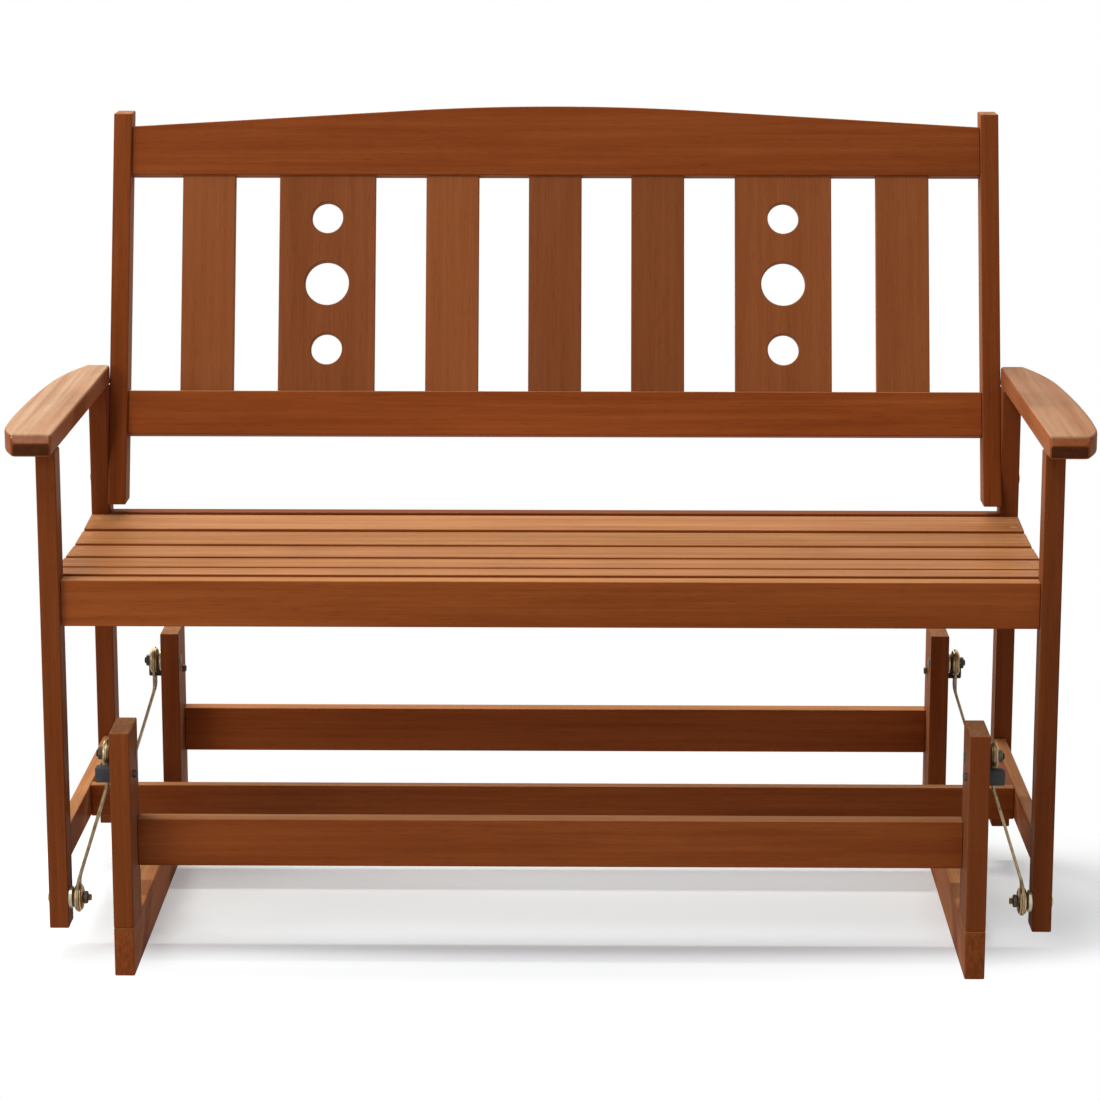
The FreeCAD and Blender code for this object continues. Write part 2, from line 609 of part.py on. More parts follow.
def bearing_cups(end, side):
    """A brass cup at each end of an arm: a neck in the arm's eye and a flange on each side of it."""
    name = f"bearings_{end}_{side}"
    inside = "(sleeve / 2 + running_fit)"
    neck = "(bearing_neck / 2)"
    rim = "(bearing_flange / 2)"
    plate_start = "((bearing_length - arm_plate) / 2)"
    plate_end = "((bearing_length + arm_plate) / 2)"
    outline = [("0", inside), ("bearing_length", inside), ("bearing_length", f"{rim} - cup_taper"),
               ("bearing_length - cup_edge", rim), (plate_end, rim), (plate_end, neck),
               (plate_start, neck), (plate_start, rim), ("cup_edge", rim), ("0", f"{rim} - cup_taper")]
    cups = [turned_at(name + "_upper", outline, side, mirrored(side, UPPER_CUP), f"{end}_pivot_back",
                      "upper_pivot"),
            turned_at(name + "_lower", outline, side, mirrored(side, LOWER_CUP), f"{end}_pivot_back",
                      "lower_pivot")]
    keep(group(name + "_pair", cups), name)


# Base

def bumper_back(end):
    """The front face of a bumper: it stands in front of a front arm and behind a rear one."""
    if end == "front":
        return "(front_pivot_back - bumper_reach - bumper_width)"
    return "(rear_pivot_back + bumper_reach)"


def bumpers():
    """A rubber block on each post's outer face stops the swing arm, and one screw holds each."""
    blocks = []
    screws = []
    depth = "(bumper_length * 3 / 4)"
    for end, side in pair():
        name = f"bumper_{end}_{side}"
        back = bumper_back(end)
        block = board(name + "_blank", sided(side, "post_outer", "(post_outer + bumper_length)"), back,
                      "bumper_low", "bumper_length", "bumper_width", "bumper_height")
        middle = f"({back} + bumper_width / 2)"
        inner = mirrored(side, POST_INNER)
        leave_space([f"base_post_{end}_{side}", name],
                    lambda tag: rod(tag, inner, middle, BUMPER_MIDDLE, "screw + 2 * bolt_slack",
                                    f"post_board + {depth}", OUTWARD[side]))
        blocks.append(bored(name, block, bores.pop(name)))
        shank = rod(name + "_shank", inner, middle, BUMPER_MIDDLE, "screw", f"post_board + {depth}",
                    OUTWARD[side])
        head = rod(name + "_head", inner, middle, BUMPER_MIDDLE, "screw_head", "bumper_head_rise",
                   -OUTWARD[side])
        screws.append(fuse(name + "_screw", [shank, head]))
    keep(group("bumper_group", blocks), "rubber_bumpers")
    keep(group("bumper_screw_group", screws), "bumper_screws")


def base_frame():
    for side in SIDES:
        start = sided(side, POST_INNER, "post_outer")
        finish(f"base_runner_{side}",
               board(f"runner_blank_{side}", start, "front_post_back", "0", "post_board",
                     "rear_post_back + post_width - front_post_back", "runner_top"))
        for end in ENDS:
            finish(f"base_post_{end}_{side}",
                   board(f"post_blank_{end}_{side}", start, f"{end}_post_back", "runner_top", "post_board",
                         "post_width", "post_top - runner_top"))
    for end in ENDS:
        finish(f"base_rail_{end}",
               board(f"rail_blank_{end}", f"-{POST_INNER}", f"{end}_cross_back", f"{end}_cross_low",
                     f"2 * {POST_INNER}", "cross_rail_board", "cross_rail_height"))


# Seat

def legs():
    for end, side in pair():
        back = "0" if end == "front" else "rear_leg_back"
        finish(f"{end}_leg_{side}",
               board(f"leg_blank_{end}_{side}", sided(side, "leg_inner", LEG_OUTER), back, "leg_foot",
                     "leg_board", f"{end}_leg_width", "leg_top - leg_foot"))


def armrest(side):
    """A board with a straight inner edge, a bowed outer edge and a bevelled front."""
    front = "-arm_front"
    shape = [("leg_inner", front), ("arm_front_outer - arm_corner", front, "arm_corner"),
             ("arm_front_outer", f"{front} + arm_corner", "arm_front_curve"),
             ("arm_shoulder_outer", "arm_shoulder_back", "arm_shoulder_curve"),
             ("arm_widest_outer", "arm_widest_back", "arm_side_curve"),
             ("arm_waist_outer", "arm_waist_back", "arm_rear_curve"), ("arm_end_outer", "arm_back"),
             ("leg_inner", "arm_back")]
    if side == "left":
        # The mirrored outline runs the other way, so each radius moves to the corner that now starts it.
        shape = [(f"-({row[0]})", row[1], *shape[number - 1][2:])
                 for number, row in reversed(list(enumerate(shape)))]
    body = plate(f"armrest_body_{side}", "XY_Plane", shape, "arm_board")
    place(body, "0", "0", "leg_top")
    top = "(leg_top + arm_board)"
    # The cutter's slope runs on past the board's front and top.
    wedge = [(f"{front} - 2 * nose_depth", f"{top} - 3 * nose_drop"),
             (f"{front} + 2 * nose_depth", f"{top} + nose_drop"),
             (f"{front} - 2 * nose_depth", f"{top} + nose_drop")]
    bevel = plate(f"armrest_bevel_{side}", "YZ_Plane", wedge, "2 * (arm_widest_outer - leg_inner)")
    place(bevel, sided(side, "(leg_inner - arm_corner)",
                       "(2 * arm_widest_outer - leg_inner - arm_corner)"), "0", "0")
    leave_space([f"armrest_{side}"], lambda tag: bevel)
    finish(f"armrest_{side}", body)


def seat_rails():
    span = ("-leg_inner", "2 * leg_inner")
    finish("seat_front_rail", board("apron_blank", span[0], "apron_back", "apron_low", span[1], "rail_board",
                                    "apron_top - apron_low"))
    finish("seat_rear_rail", board("rear_rail_blank", span[0], "rear_rail_back", "rear_rail_low", span[1],
                                   "rail_board", "rear_rail_top - rear_rail_low"))
    # The side rails' dished edge passes through the lower corners of the slats.
    curve = "(sqrt((dish_radius + slat_board) ^ 2 + (slat_width / 2) ^ 2) + bolt_slack / 2)"
    centre = "(dish_low + dish_radius)"

    def dished(back):
        return f"{centre} - sqrt({curve} ^ 2 - ({back} - dish_back) ^ 2)"

    for side in SIDES:
        shape = [(FRONT_LEG_BACK, "side_rail_low"), ("rear_leg_back", "side_rail_low"),
                 ("rear_leg_back", dished("rear_leg_back"), f"-{curve}"),
                 (FRONT_LEG_BACK, dished(FRONT_LEG_BACK))]
        rail = plate(f"side_rail_body_{side}", "YZ_Plane", shape, "side_rail_board")
        place(rail, sided(side, "leg_inner", "(leg_inner + side_rail_board)"), "0", "0")
        finish(f"seat_side_rail_{side}", rail)


def slat_angle(number):
    """How much a seat slat tilts to follow the dish, in degrees; the front ones tilt back."""
    return f"((slat_first_back + {number - 1} * slat_pitch - dish_back) / dish_radius * 180 / pi)"


def slat_point(number, along, depth):
    """A point of a seat slat: along its width from its middle, and below its top face."""
    angle = slat_angle(number)
    back = f"(dish_back + (dish_radius + {depth}) * sin({angle}) + ({along}) * cos({angle}))"
    up = f"(dish_low + dish_radius - (dish_radius + {depth}) * cos({angle}) + ({along}) * sin({angle}))"
    return back, up


def seat_slats():
    for number in range(1, int(value_of("slat_count")) + 1):
        angle = slat_angle(number)
        rises = value_of(angle) > 0
        corner = slat_point(number, "-slat_width / 2", "slat_board")
        finish(f"seat_slat_{number}",
               board(f"slat_blank_{number}", "-slat_half_length", corner[0], corner[1],
                     "2 * slat_half_length", "slat_width", "slat_board",
                     Vector(1 if rises else -1, 0, 0), f"abs({angle})"))


def lower_frame():
    for side in SIDES:
        finish(f"lower_side_rail_{side}",
               board(f"tie_blank_{side}", sided(side, "leg_inner", "(leg_inner + tie_board)"), FRONT_LEG_BACK,
                     "tie_low", "tie_board", f"rear_leg_back - {FRONT_LEG_BACK}", "tie_top - tie_low"))
    finish("cross_stretcher",
           board("stretcher_blank", "-leg_inner", "stretcher_back", "tie_low", "2 * leg_inner",
                 "stretcher_board", "tie_top - tie_low"))


# Backrest: up the slope starts at the stiles' lower ends, and recess is measured from their fronts.

def on_slope(slope, recess):
    """The back and height of a point of the backrest."""
    back = f"(stile_back + ({slope}) * sin(lean) + ({recess}) * cos(lean))"
    up = f"(stile_low + ({slope}) * cos(lean) - ({recess}) * sin(lean))"
    return back, up


def back_frame():
    top_shift = "(stile_top - stile_low) * tan(lean)"
    depth = "stile_depth / cos(lean)"
    for side in SIDES:
        shape = [("stile_back", "stile_low"), (f"stile_back + {depth}", "stile_low"),
                 (f"stile_back + {top_shift} + {depth}", "stile_top"),
                 (f"stile_back + {top_shift}", "stile_top")]
        stile = plate(f"stile_body_{side}", "YZ_Plane", shape, "leg_board")
        place(stile, sided(side, STILE_INNER, "leg_inner"), "0", "0")
        finish(f"back_stile_{side}", stile)
    low = board("low_rail_blank", f"-{STILE_INNER}", *on_slope("low_rail_start", "rail_recess"),
                f"2 * {STILE_INNER}", "back_rail_board", "low_rail_end - low_rail_start", LEANING, "lean")
    finish("back_bottom_rail", low)
    curve = "((crown_bend ^ 2 + crown_drop ^ 2) / 2 / crown_drop)"
    shape = [(f"-{STILE_INNER}", "top_rail_start"), (STILE_INNER, "top_rail_start"),
             (STILE_INNER, "top_rail_end"), ("crown_bend", "top_rail_crown - crown_drop", curve),
             ("-crown_bend", "top_rail_crown - crown_drop"), (f"-{STILE_INNER}", "top_rail_end")]
    top = plate("top_rail_body", "XZ_Plane", shape, "back_rail_board", reverse=True)
    place(top, "0", *on_slope("0", "rail_recess"), LEANING, "lean")
    finish("back_top_rail", top)


BACK_SLATS = (("-outer_slat_at", "narrow_slat"), ("-wide_slat_at", "wide_slat"),
              ("-inner_slat_at", "narrow_slat"), ("0", "narrow_slat"), ("inner_slat_at", "narrow_slat"),
              ("wide_slat_at", "wide_slat"), ("outer_slat_at", "narrow_slat"))


def back_slats():
    """Upright slats let into the back rails; the two wide ones have three round holes each."""
    start = "low_rail_end - slat_tenon"
    height = "top_rail_start - low_rail_end + 2 * slat_tenon"
    centre = "(low_rail_end + top_rail_start) / 2"
    lean = math.radians(value_of("lean"))
    through = Vector(0, math.cos(lean), -math.sin(lean))
    for number, (middle, width) in enumerate(BACK_SLATS, start=1):
        name = f"back_slat_{number}"
        blank = board(f"{name}_blank", f"{middle} - {width} / 2", *on_slope(start, "back_slat_recess"), width,
                      "back_slat_board", height, LEANING, "lean")
        for rail, low in (("back_bottom_rail", "low_rail_end - slat_tenon - bolt_slack"),
                          ("back_top_rail", "top_rail_start")):
            leave_space([rail], lambda tag: board(
                tag, f"{middle} - {width} / 2 - bolt_slack",
                *on_slope(low, "back_slat_recess - bolt_slack"), f"{width} + 2 * bolt_slack",
                "back_slat_board + 2 * bolt_slack", "slat_tenon + bolt_slack", LEANING, "lean"))
        if width == "wide_slat":
            for step, size in ((-1, "end_hole"), (0, "middle_hole"), (1, "end_hole")):
                spot = on_slope(f"{centre} + {step} * hole_spacing", "back_slat_recess")
                leave_space([name], lambda tag: rod(tag, middle, *spot, size, "back_slat_board", through))
        finish(name, blank)


def check_and_write():
    """Stop on any failed object or bad shape, then write each sub-part's file."""
    doc.recompute()
    for item in doc.Objects:
        if "Invalid" in item.State or "Error" in item.State:
            raise RuntimeError(f"{item.Label} failed: {item.State}")
    os.makedirs("parts", exist_ok=True)
    whole = FreeCAD.BoundBox()
    for item in nodes:
        shape = item.Shape
        if shape.isNull() or not shape.isValid():
            raise RuntimeError(f"{item.Label} has no valid shape")
        whole.add(shape.BoundBox)
        shape.exportStep(f"parts/{item.Label}.step")
        print(f"{item.Label}: {len(shape.Solids)} solid(s), {shape.Volume / 1000:.1f} cm3")
    print(f"{len(nodes)} sub-parts, box {whole}")


base_rail_bolts()
base_dowels()
seat_frame_bolts()
seat_dowels()
slat_screws()
upper_pivot_bolts()
lower_pivot_bolts()
sleeves("upper", "upper_gap", "post_outer", {"left": "left", "right": "right"})
sleeves("lower", "lower_gap", "leg_inner", OTHER)
nuts("upper", "(post_outer + upper_gap + bearing_length + end_play)", {"left": "left", "right": "right"})
nuts("lower", "(leg_inner - lower_gap - bearing_length - end_play)", OTHER)
bumpers()
for end, side in pair():
    swing_arm(end, side)
    bearing_cups(end, side)
base_frame()
legs()
for side in SIDES:
    armrest(side)
seat_rails()
seat_slats()
lower_frame()
back_slats()
back_frame()
check_and_write()
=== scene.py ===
import math

import bmesh
import bpy
from mathutils import Matrix, Vector


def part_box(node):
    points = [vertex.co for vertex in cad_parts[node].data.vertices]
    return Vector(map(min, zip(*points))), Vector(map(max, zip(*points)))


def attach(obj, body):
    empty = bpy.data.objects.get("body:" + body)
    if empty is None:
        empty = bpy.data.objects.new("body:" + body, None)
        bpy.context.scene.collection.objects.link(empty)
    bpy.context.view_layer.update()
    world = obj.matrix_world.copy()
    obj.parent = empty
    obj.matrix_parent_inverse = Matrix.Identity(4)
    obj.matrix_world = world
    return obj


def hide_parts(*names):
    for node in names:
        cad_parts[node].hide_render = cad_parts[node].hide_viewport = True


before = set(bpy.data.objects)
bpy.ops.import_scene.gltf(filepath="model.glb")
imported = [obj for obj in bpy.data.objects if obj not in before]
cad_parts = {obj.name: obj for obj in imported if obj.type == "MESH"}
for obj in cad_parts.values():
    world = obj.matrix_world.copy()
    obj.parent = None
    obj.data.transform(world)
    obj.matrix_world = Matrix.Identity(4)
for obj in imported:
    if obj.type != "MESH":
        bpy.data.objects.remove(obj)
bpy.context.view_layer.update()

# Sizes that the frame's boxes don't give, in metres and radians: the back's lean, and the rounding
# of the boards' edges.
LEAN = math.radians(17.7)
EASE = 0.0016

# Back: the top rail's crown is an arc as far as CROWN_BEND from the middle, where it has fallen by
# CROWN_DROP, and then straight to the ends, which are CROWN_RISE below its top. The wide slats' holes
# are measured up the slope from SLOPE_START.
SLOPE_START = Vector((0, 0.1312, 0.4595))
CROWN_BEND = 0.184
CROWN_DROP = 0.0054
CROWN_RISE = 0.0262
HOLE_MIDDLE = 0.2822
HOLE_SPACING = 0.0834
MIDDLE_HOLE = 0.0275
END_HOLE = 0.0195

# Seat: the slats' tops lie on an arc whose lowest line is DISH_LOW high and DISH_MIDDLE from the
# origin, in front of it where that is negative. The rails under their ends are hollowed round the same
# centre.
DISH_RADIUS = 1.68
DISH_MIDDLE = -0.0188
DISH_LOW = 0.4398
RAIL_DISH_RADIUS = 1.69835

# Armrests. Depths are measured from the front of the base, which is FRONT in front of the origin. The
# bevel along the front edge takes NOSE_DROP off the front face and NOSE_DEPTH off the top.
FRONT = 0.2768
LEG_INNER = 0.5564
ARM_FRONT_OUTER = 0.603
ARM_CORNER = 0.007
# Each stretch of the outer edge: how far back it ends, how far out, and its radius.
ARM_CURVES = ((0.031, 0.6167, 0.15), (0.118, 0.619, 1.645), (0.318, 0.6123, 2.985), (0.461, 0.5853, 0.587))
ARM_EASE = 0.0035
NOSE_DROP = 0.0115
NOSE_DEPTH = 0.009

# Swing arms: a flat bar with an eye at each end and two bends, each rounded BEND_REACH above and
# below its height.
BAR_THICKNESS = 0.003
BAR_HALF_WIDTH = 0.012
CUP_HOLE = 0.012
UPPER_BEND = 0.214
LOWER_BEND = 0.097
BEND_REACH = 0.006
BAR_EASE = 0.0005

# Bearing cup: its outline as (along, radius).
CUP = ((0, 0.0061), (0, 0.0082), (0.0005, 0.0086), (0.0005, 0.0116), (0.0002, 0.0122), (0.0006, 0.0134),
       (0.0014, 0.0149), (0.0022, 0.0154), (0.003, 0.0155), (0.0034, 0.0152), (0.0035, 0.0121),
       (0.0065, 0.0121), (0.0066, 0.0152), (0.007, 0.0155), (0.0078, 0.0154), (0.0084, 0.015),
       (0.0094, 0.0132), (0.0098, 0.0122), (0.0095, 0.0116), (0.0095, 0.0086), (0.01, 0.0082),
       (0.01, 0.0061))

# Pivot bolts: each domed head as (depth from its top, share of its radius), and the thread's length.
BOLT_RADIUS = 0.004
DOMES = {"upper": ((0.000045, 0.3), (0.0003, 0.6), (0.00075, 0.85), (0.0012, 0.97), (0.0015, 1)),
         "lower": ((0.00005, 0.3), (0.0004, 0.55), (0.0011, 0.8), (0.0019, 0.95), (0.0024, 1))}
THREADED = {"upper": 0.0085, "lower": 0.0105}
THREAD_PITCH = 0.00125
THREAD_DEPTH = 0.0005

# Nuts: how deep each ring of the turned-down corners lies, how wide the flat end is, and its slope.
NUT_RINGS = (0, 0.0003, 0.0006, 0.0009, 0.0012)
NUT_END_SHARE = 0.97
NUT_SLOPE = math.radians(58)

# Sleeves: the foot's outline as (depth from its shoulder, share of its radius).
SLEEVE_RADIUS = 0.006
SLEEVE_EDGE = 0.0005
FOOT = {"upper": 0.0045, "lower": 0.0059}
FOOT_CURVE = ((0, 0.72), (0.0009, 0.8), (0.0014, 0.97), (0.002, 1))
FOOT_EDGE = 0.0008

# Heads with a socket: rings as (share of the height, share of the radius), outside and in the socket.
HEAD_RINGS = ((1, 1), (0.35, 1), (0.12, 0.93), (0, 0.8))
SOCKET_RINGS = ((0, 1.12), (0.08, 1), (0.75, 1))
SOCKET_RADIUS = 0.0025
FRAME_BOLT_HEIGHT = 0.0016
SCREW_RADIUS = 0.0045
SCREW_HEIGHT = 0.0042
BUMPER_EASE = 0.0022

# Plugs: their outline as (height above the slat, share of the radius).
PLUG_RADIUS = 0.0045
PLUG_DEPTH = 0.005
PLUG_CURVE = ((0.0003, 0), (0.0003, 0.7), (0.0001, 0.96), (-0.0005, 1), (-0.0045, 1), (-0.0045, 0))

# How finely curves are divided, and when points and faces count as one.
ROUND_STEPS = 48
CUP_STEPS = 64
NUT_STEPS = 60
PLUG_STEPS = 32
EYE_STEPS = 28
CROWN_STEPS = 40
DISH_STEPS = 24
ARM_CORNER_STEPS = 6
ARM_CURVE_STEPS = 12
BEND_STEPS = 6
EASE_STEPS = 3
BUMPER_STEPS = 4
WELD = 1e-6
FLAT = 0.001

UP_SLOPE = Vector((0, math.sin(LEAN), math.cos(LEAN)))
BEHIND_SLOPE = Vector((0, math.cos(LEAN), -math.sin(LEAN)))
ACROSS = Vector((1, 0, 0))
BACKWARD = Vector((0, 1, 0))
UPWARD = Vector((0, 0, 1))
SIDES = {"left": -1, "right": 1}
ENDS = ("front", "rear")
# Seat slats are numbered from the front, and back slats from the left.
SEAT_SLATS = range(1, 6)
NARROW_SLATS = (1, 3, 4, 5, 7)
WIDE_SLATS = (2, 6)
# The body that holds each level's pivots, and which way their bolts point: 1 is outward.
LEVELS = {"upper": ("base", 1), "lower": ("seat", -1)}

# Camera: at the photograph's angle, above the seat and a little to the right of the middle.
CAMERA_PLACE = Vector((0.0516, -4.1433, 1.3319))
CAMERA_YAW = 0.01322
CAMERA_PITCH = 0.21389
CAMERA_LENS = 114.72
CAMERA_SENSOR = 36
CAMERA_FAR = 200

# Studio: inside FLOOR_CLEAR the floor is shaded, with a share SHADOW_LIFT of plain white in it, and
# beyond FLOOR_WHITE it is all white. FLOOR_OVAL makes it fade sooner from front to back. The floor
# throws only FLOOR_BOUNCE of its light onto the bench, and FILL is the light from all around.
FLOOR_SIZE = 30
FLOOR_DEPTH = 0.0005
FLOOR_CLEAR = 0.68
FLOOR_WHITE = 1.12
FLOOR_OVAL = (1, 3.2, 1)
FLOOR_BOUNCE = (0.6, 0.6, 0.6)
SHADOW_LIFT = 0.22
FILL = 0.37
WHITE = (1, 1, 1, 1)
WARM = (1.0, 0.96, 0.85)
NEUTRAL = (1, 1, 1)
# Each lamp: its name, its place, the height that it points at, its size, power and colour.
LAMPS = (("rear_top", (-1.9, 1.6, 3.1), 0.4, (2.6, 2.6), 115, WARM),
         ("rear_key", (-0.2, 4.2, 3.8), 0.3, (2.2, 0.12), 158, WARM),
         ("front_top", (-1.1, -1.5, 3.8), 0.4, (1.2, 1.2), 56, NEUTRAL),
         ("left_front", (-2.8, -2.4, 1.5), 0.5, (1.6, 1.6), 32, NEUTRAL))

# Wood colours: dark, middle and light. Upward faces take them multiplied by a painted top light, and end
# grain takes a share.
BOARD_TONES = ((0.22, 0.046, 0.008), (0.285, 0.066, 0.013), (0.35, 0.09, 0.02))
LEG_TONES = ((0.15, 0.033, 0.006), (0.2, 0.045, 0.009), (0.25, 0.062, 0.014))
BACK_TONES = ((0.235, 0.066, 0.018), (0.275, 0.082, 0.025), (0.315, 0.098, 0.032))
ARM_TONES = ((0.22, 0.05, 0.011), (0.275, 0.07, 0.017), (0.325, 0.09, 0.025))
DOWEL_TONES = ((0.36, 0.2, 0.09), (0.52, 0.33, 0.16), (0.62, 0.42, 0.24))
# Painted top light: how much the colour of upward faces is multiplied to paint the light from above.
PAINTED_TOP_LIGHT = (1.7, 3.2, 6.2)
NO_PAINTED_TOP_LIGHT = (1.0, 1.0, 1.0)
# Each armrest's painted top light on upward faces, stronger on the left one.
ARM_PAINTED_TOP_LIGHT = {"left": (1.8, 4.5, 11.5), "right": (1.36, 2.86, 6.5)}
END_SHARE = 0.86
ARM_END_SHARE = 0.25
# How far a pattern shifts along each axis, at most, from one piece to another.
SHIFTS = {"X": 7.3, "Y": 3.1, "Z": 1.7}


# Materials

class Tree:
    """A node tree, with short ways to add nodes and links."""

    def __init__(self, tree):
        self.nodes = tree.nodes
        self.links = tree.links

    def add(self, kind, inputs=None, **settings):
        node = self.nodes.new("ShaderNode" + kind)
        for key, value in settings.items():
            setattr(node, key, value)
        for key, value in (inputs or {}).items():
            self.put(node.inputs[key], value)
        return node

    def put(self, socket, value):
        """Set a socket to a number or colour, or link it to another node's output."""
        if isinstance(value, bpy.types.NodeSocket):
            self.links.new(value, socket)
        else:
            socket.default_value = value

    def math(self, operation, first, second=0.0):
        return self.add("Math", {0: first, 1: second}, operation=operation).outputs[0]

    def blend(self, factor, first, second):
        """One shader where the factor is 0 and another where it is 1."""
        return self.add("MixShader", {0: factor, 1: first, 2: second}).outputs[0]


class Shader(Tree):
    """A material's node tree."""

    def __init__(self, name):
        self.material = bpy.data.materials.new(name)
        self.material.use_nodes = True
        super().__init__(self.material.node_tree)
        self.surface = self.nodes["Principled BSDF"]

    def set(self, **inputs):
        for key, value in inputs.items():
            self.put(self.surface.inputs[key.replace("_", " ")], value)

    def ramp(self, factor, *stops):
        """A colour ramp; each stop is (place, grey) or (place, colour)."""
        node = self.add("ValToRGB", {"Fac": factor})
        band = node.color_ramp
        while len(band.elements) < len(stops):
            band.elements.new(0.5)
        for element, (place, colour) in zip(band.elements, stops):
            element.position = place
            if isinstance(colour, (int, float)):
                colour = (colour, colour, colour)
            element.color = (*colour, 1)
        return node.outputs["Color"]

    def mix(self, factor, first, second, blend="MIX"):
        """Two colours mixed; the node's colour sockets are inputs 6 and 7 and output 2."""
        node = self.add("Mix", data_type="RGBA", blend_type=blend)
        self.put(node.inputs[0], factor)
        for number, value in ((6, first), (7, second)):
            if not isinstance(value, bpy.types.NodeSocket):
                value = (*value, 1)
            self.put(node.inputs[number], value)
        return node.outputs[2]

    def stretched(self, scale):
        """A piece's own coordinates, offset for each piece and stretched by a scale along each axis."""
        place = self.add("TexCoord").outputs["Object"]
        chance = self.add("ObjectInfo").outputs["Random"]
        lengths = {axis: self.math("MULTIPLY", chance, most) for axis, most in SHIFTS.items()}
        shift = self.add("CombineXYZ", lengths).outputs[0]
        moved = self.add("VectorMath", {0: place, 1: shift}, operation="ADD").outputs[0]
        return self.add("VectorMath", {0: moved, 1: scale}, operation="MULTIPLY").outputs[0]

    def noise(self, scale, detail, roughness, distortion=0.0):
        """Noise whose scale is in grains per metre along each of a piece's own axes."""
        node = self.add("TexNoise", {"Vector": self.stretched(scale), "Scale": 1.0, "Detail": detail,
                                     "Roughness": roughness, "Distortion": distortion})
        return node.outputs["Fac"]

    def bump(self, height, strength, distance, under=None):
        inputs = {"Height": height, "Strength": strength, "Distance": distance}
        if under is not None:
            inputs["Normal"] = under
        return self.add("Bump", inputs).outputs["Normal"]


def scaled(colour, share):
    return tuple(share * part for part in colour)


def wood(name, tones, end_share=END_SHARE, top_light=PAINTED_TOP_LIGHT):
    """Oiled hardwood with its grain along a piece's own X axis."""
    dark, middle, light = tones
    shader = Shader(name)
    chance = shader.add("ObjectInfo").outputs["Random"]
    figure = shader.noise((1.6, 20, 20), 5, 0.6, 0.8)
    streaks = shader.noise((3, 150, 150), 3, 0.6, 0.2)
    fibres = shader.noise((16, 900, 900), 2, 0.7)
    pores = shader.noise((45, 1500, 1500), 1, 0.5)
    colour = shader.ramp(figure, (0.3, dark), (0.48, middle), (0.7, light))
    colour = shader.mix(0.45, colour, shader.ramp(streaks, (0.34, dark), (0.52, middle), (0.7, light)))
    fine = shader.ramp(fibres, (0.25, 0.72), (0.6, 1.0))
    colour = shader.mix(0.5, colour, fine, "MULTIPLY")
    pore = shader.ramp(pores, (0.3, 0.4), (0.38, 1.0))
    colour = shader.mix(0.4, colour, pore, "MULTIPLY")
    # Each board has its own tone, some browner and darker than others.
    tone = shader.ramp(chance, (0.0, (0.86, 0.84, 0.86)), (0.5, (1.0, 1.0, 1.0)), (1.0, (1.1, 1.12, 1.1)))
    colour = shader.mix(1.0, colour, tone, "MULTIPLY")
    # End grain, where the surface looks along the board, is darker and has no streaks.
    facing = shader.add("SeparateXYZ", {0: shader.add("TexCoord").outputs["Normal"]}).outputs["X"]
    ends = shader.ramp(shader.math("ABSOLUTE", facing), (0.83, 0.0), (0.93, 1.0))
    rings = shader.noise((10, 120, 300), 3, 0.6)
    end_colour = shader.ramp(rings, (0.3, scaled(dark, end_share)), (0.7, scaled(light, end_share)))
    colour = shader.mix(ends, colour, end_colour)
    # Painted top light: faces that look up are painted paler and more yellow, in patches, to stand for the
    # strong light from above.
    upward = shader.add("SeparateXYZ", {0: shader.add("NewGeometry").outputs["Normal"]}).outputs["Z"]
    painted_top = shader.mix(1.0, colour, top_light, "MULTIPLY")
    patches = shader.ramp(shader.noise((1.1, 60, 60), 4, 0.65, 0.5), (0.34, 0.55), (0.6, 1.0))
    share = shader.math("MULTIPLY", shader.ramp(upward, (0.56, 0.0), (0.86, 1.0)), patches)
    colour = shader.mix(share, colour, painted_top)
    # Undersides are dull.
    under = shader.ramp(shader.math("MULTIPLY", upward, -1.0), (0.1, 0.0), (0.4, 1.0))
    rough = shader.mix(under, shader.ramp(streaks, (0.2, 0.46), (0.8, 0.36)), (0.95, 0.95, 0.95))
    relief = shader.bump(fibres, 0.25, 0.0002, shader.bump(figure, 0.2, 0.0006))
    relief = shader.bump(pore, 0.3, 0.00015, relief)
    shader.set(Base_Color=colour, Roughness=rough, Normal=relief)
    shader.set(Specular_IOR_Level=0.0, Coat_Weight=0.1, Coat_Roughness=0.3)
    shader.set(Sheen_Weight=0.16, Sheen_Roughness=0.4, Sheen_Tint=(1.0, 0.6, 0.36, 1))
    return shader.material


def metal(name, colour, worn, roughness):
    """Plated steel: brushed lines, dull patches and small dark specks."""
    shader = Shader(name)
    lines = shader.noise((60, 60, 900), 2, 0.6)
    patches = shader.noise((90, 90, 90), 4, 0.6, 0.5)
    specks = shader.ramp(shader.noise((700, 700, 700), 2, 0.5), (0.66, 0.0), (0.74, 1.0))
    tint = shader.mix(shader.ramp(patches, (0.4, 0.0), (0.7, 1.0)), colour, worn)
    tint = shader.mix(shader.math("MULTIPLY", specks, 0.5), tint, scaled(worn, 0.3))
    rough = shader.ramp(patches, (0.3, roughness), (0.75, roughness + 0.2))
    shader.set(Base_Color=tint, Metallic=1.0, Roughness=rough, Normal=shader.bump(lines, 0.15, 0.00008))
    return shader.material


def rubber(name):
    """Black rubber with a fine grain and a little dust."""
    shader = Shader(name)
    grain = shader.noise((900, 900, 900), 3, 0.6)
    dust = shader.noise((60, 60, 60), 3, 0.6)
    colour = shader.ramp(dust, (0.35, (0.012, 0.012, 0.014)), (0.75, (0.035, 0.035, 0.04)))
    shader.set(Base_Color=colour, Roughness=0.62, Normal=shader.bump(grain, 0.35, 0.0001))
    return shader.material


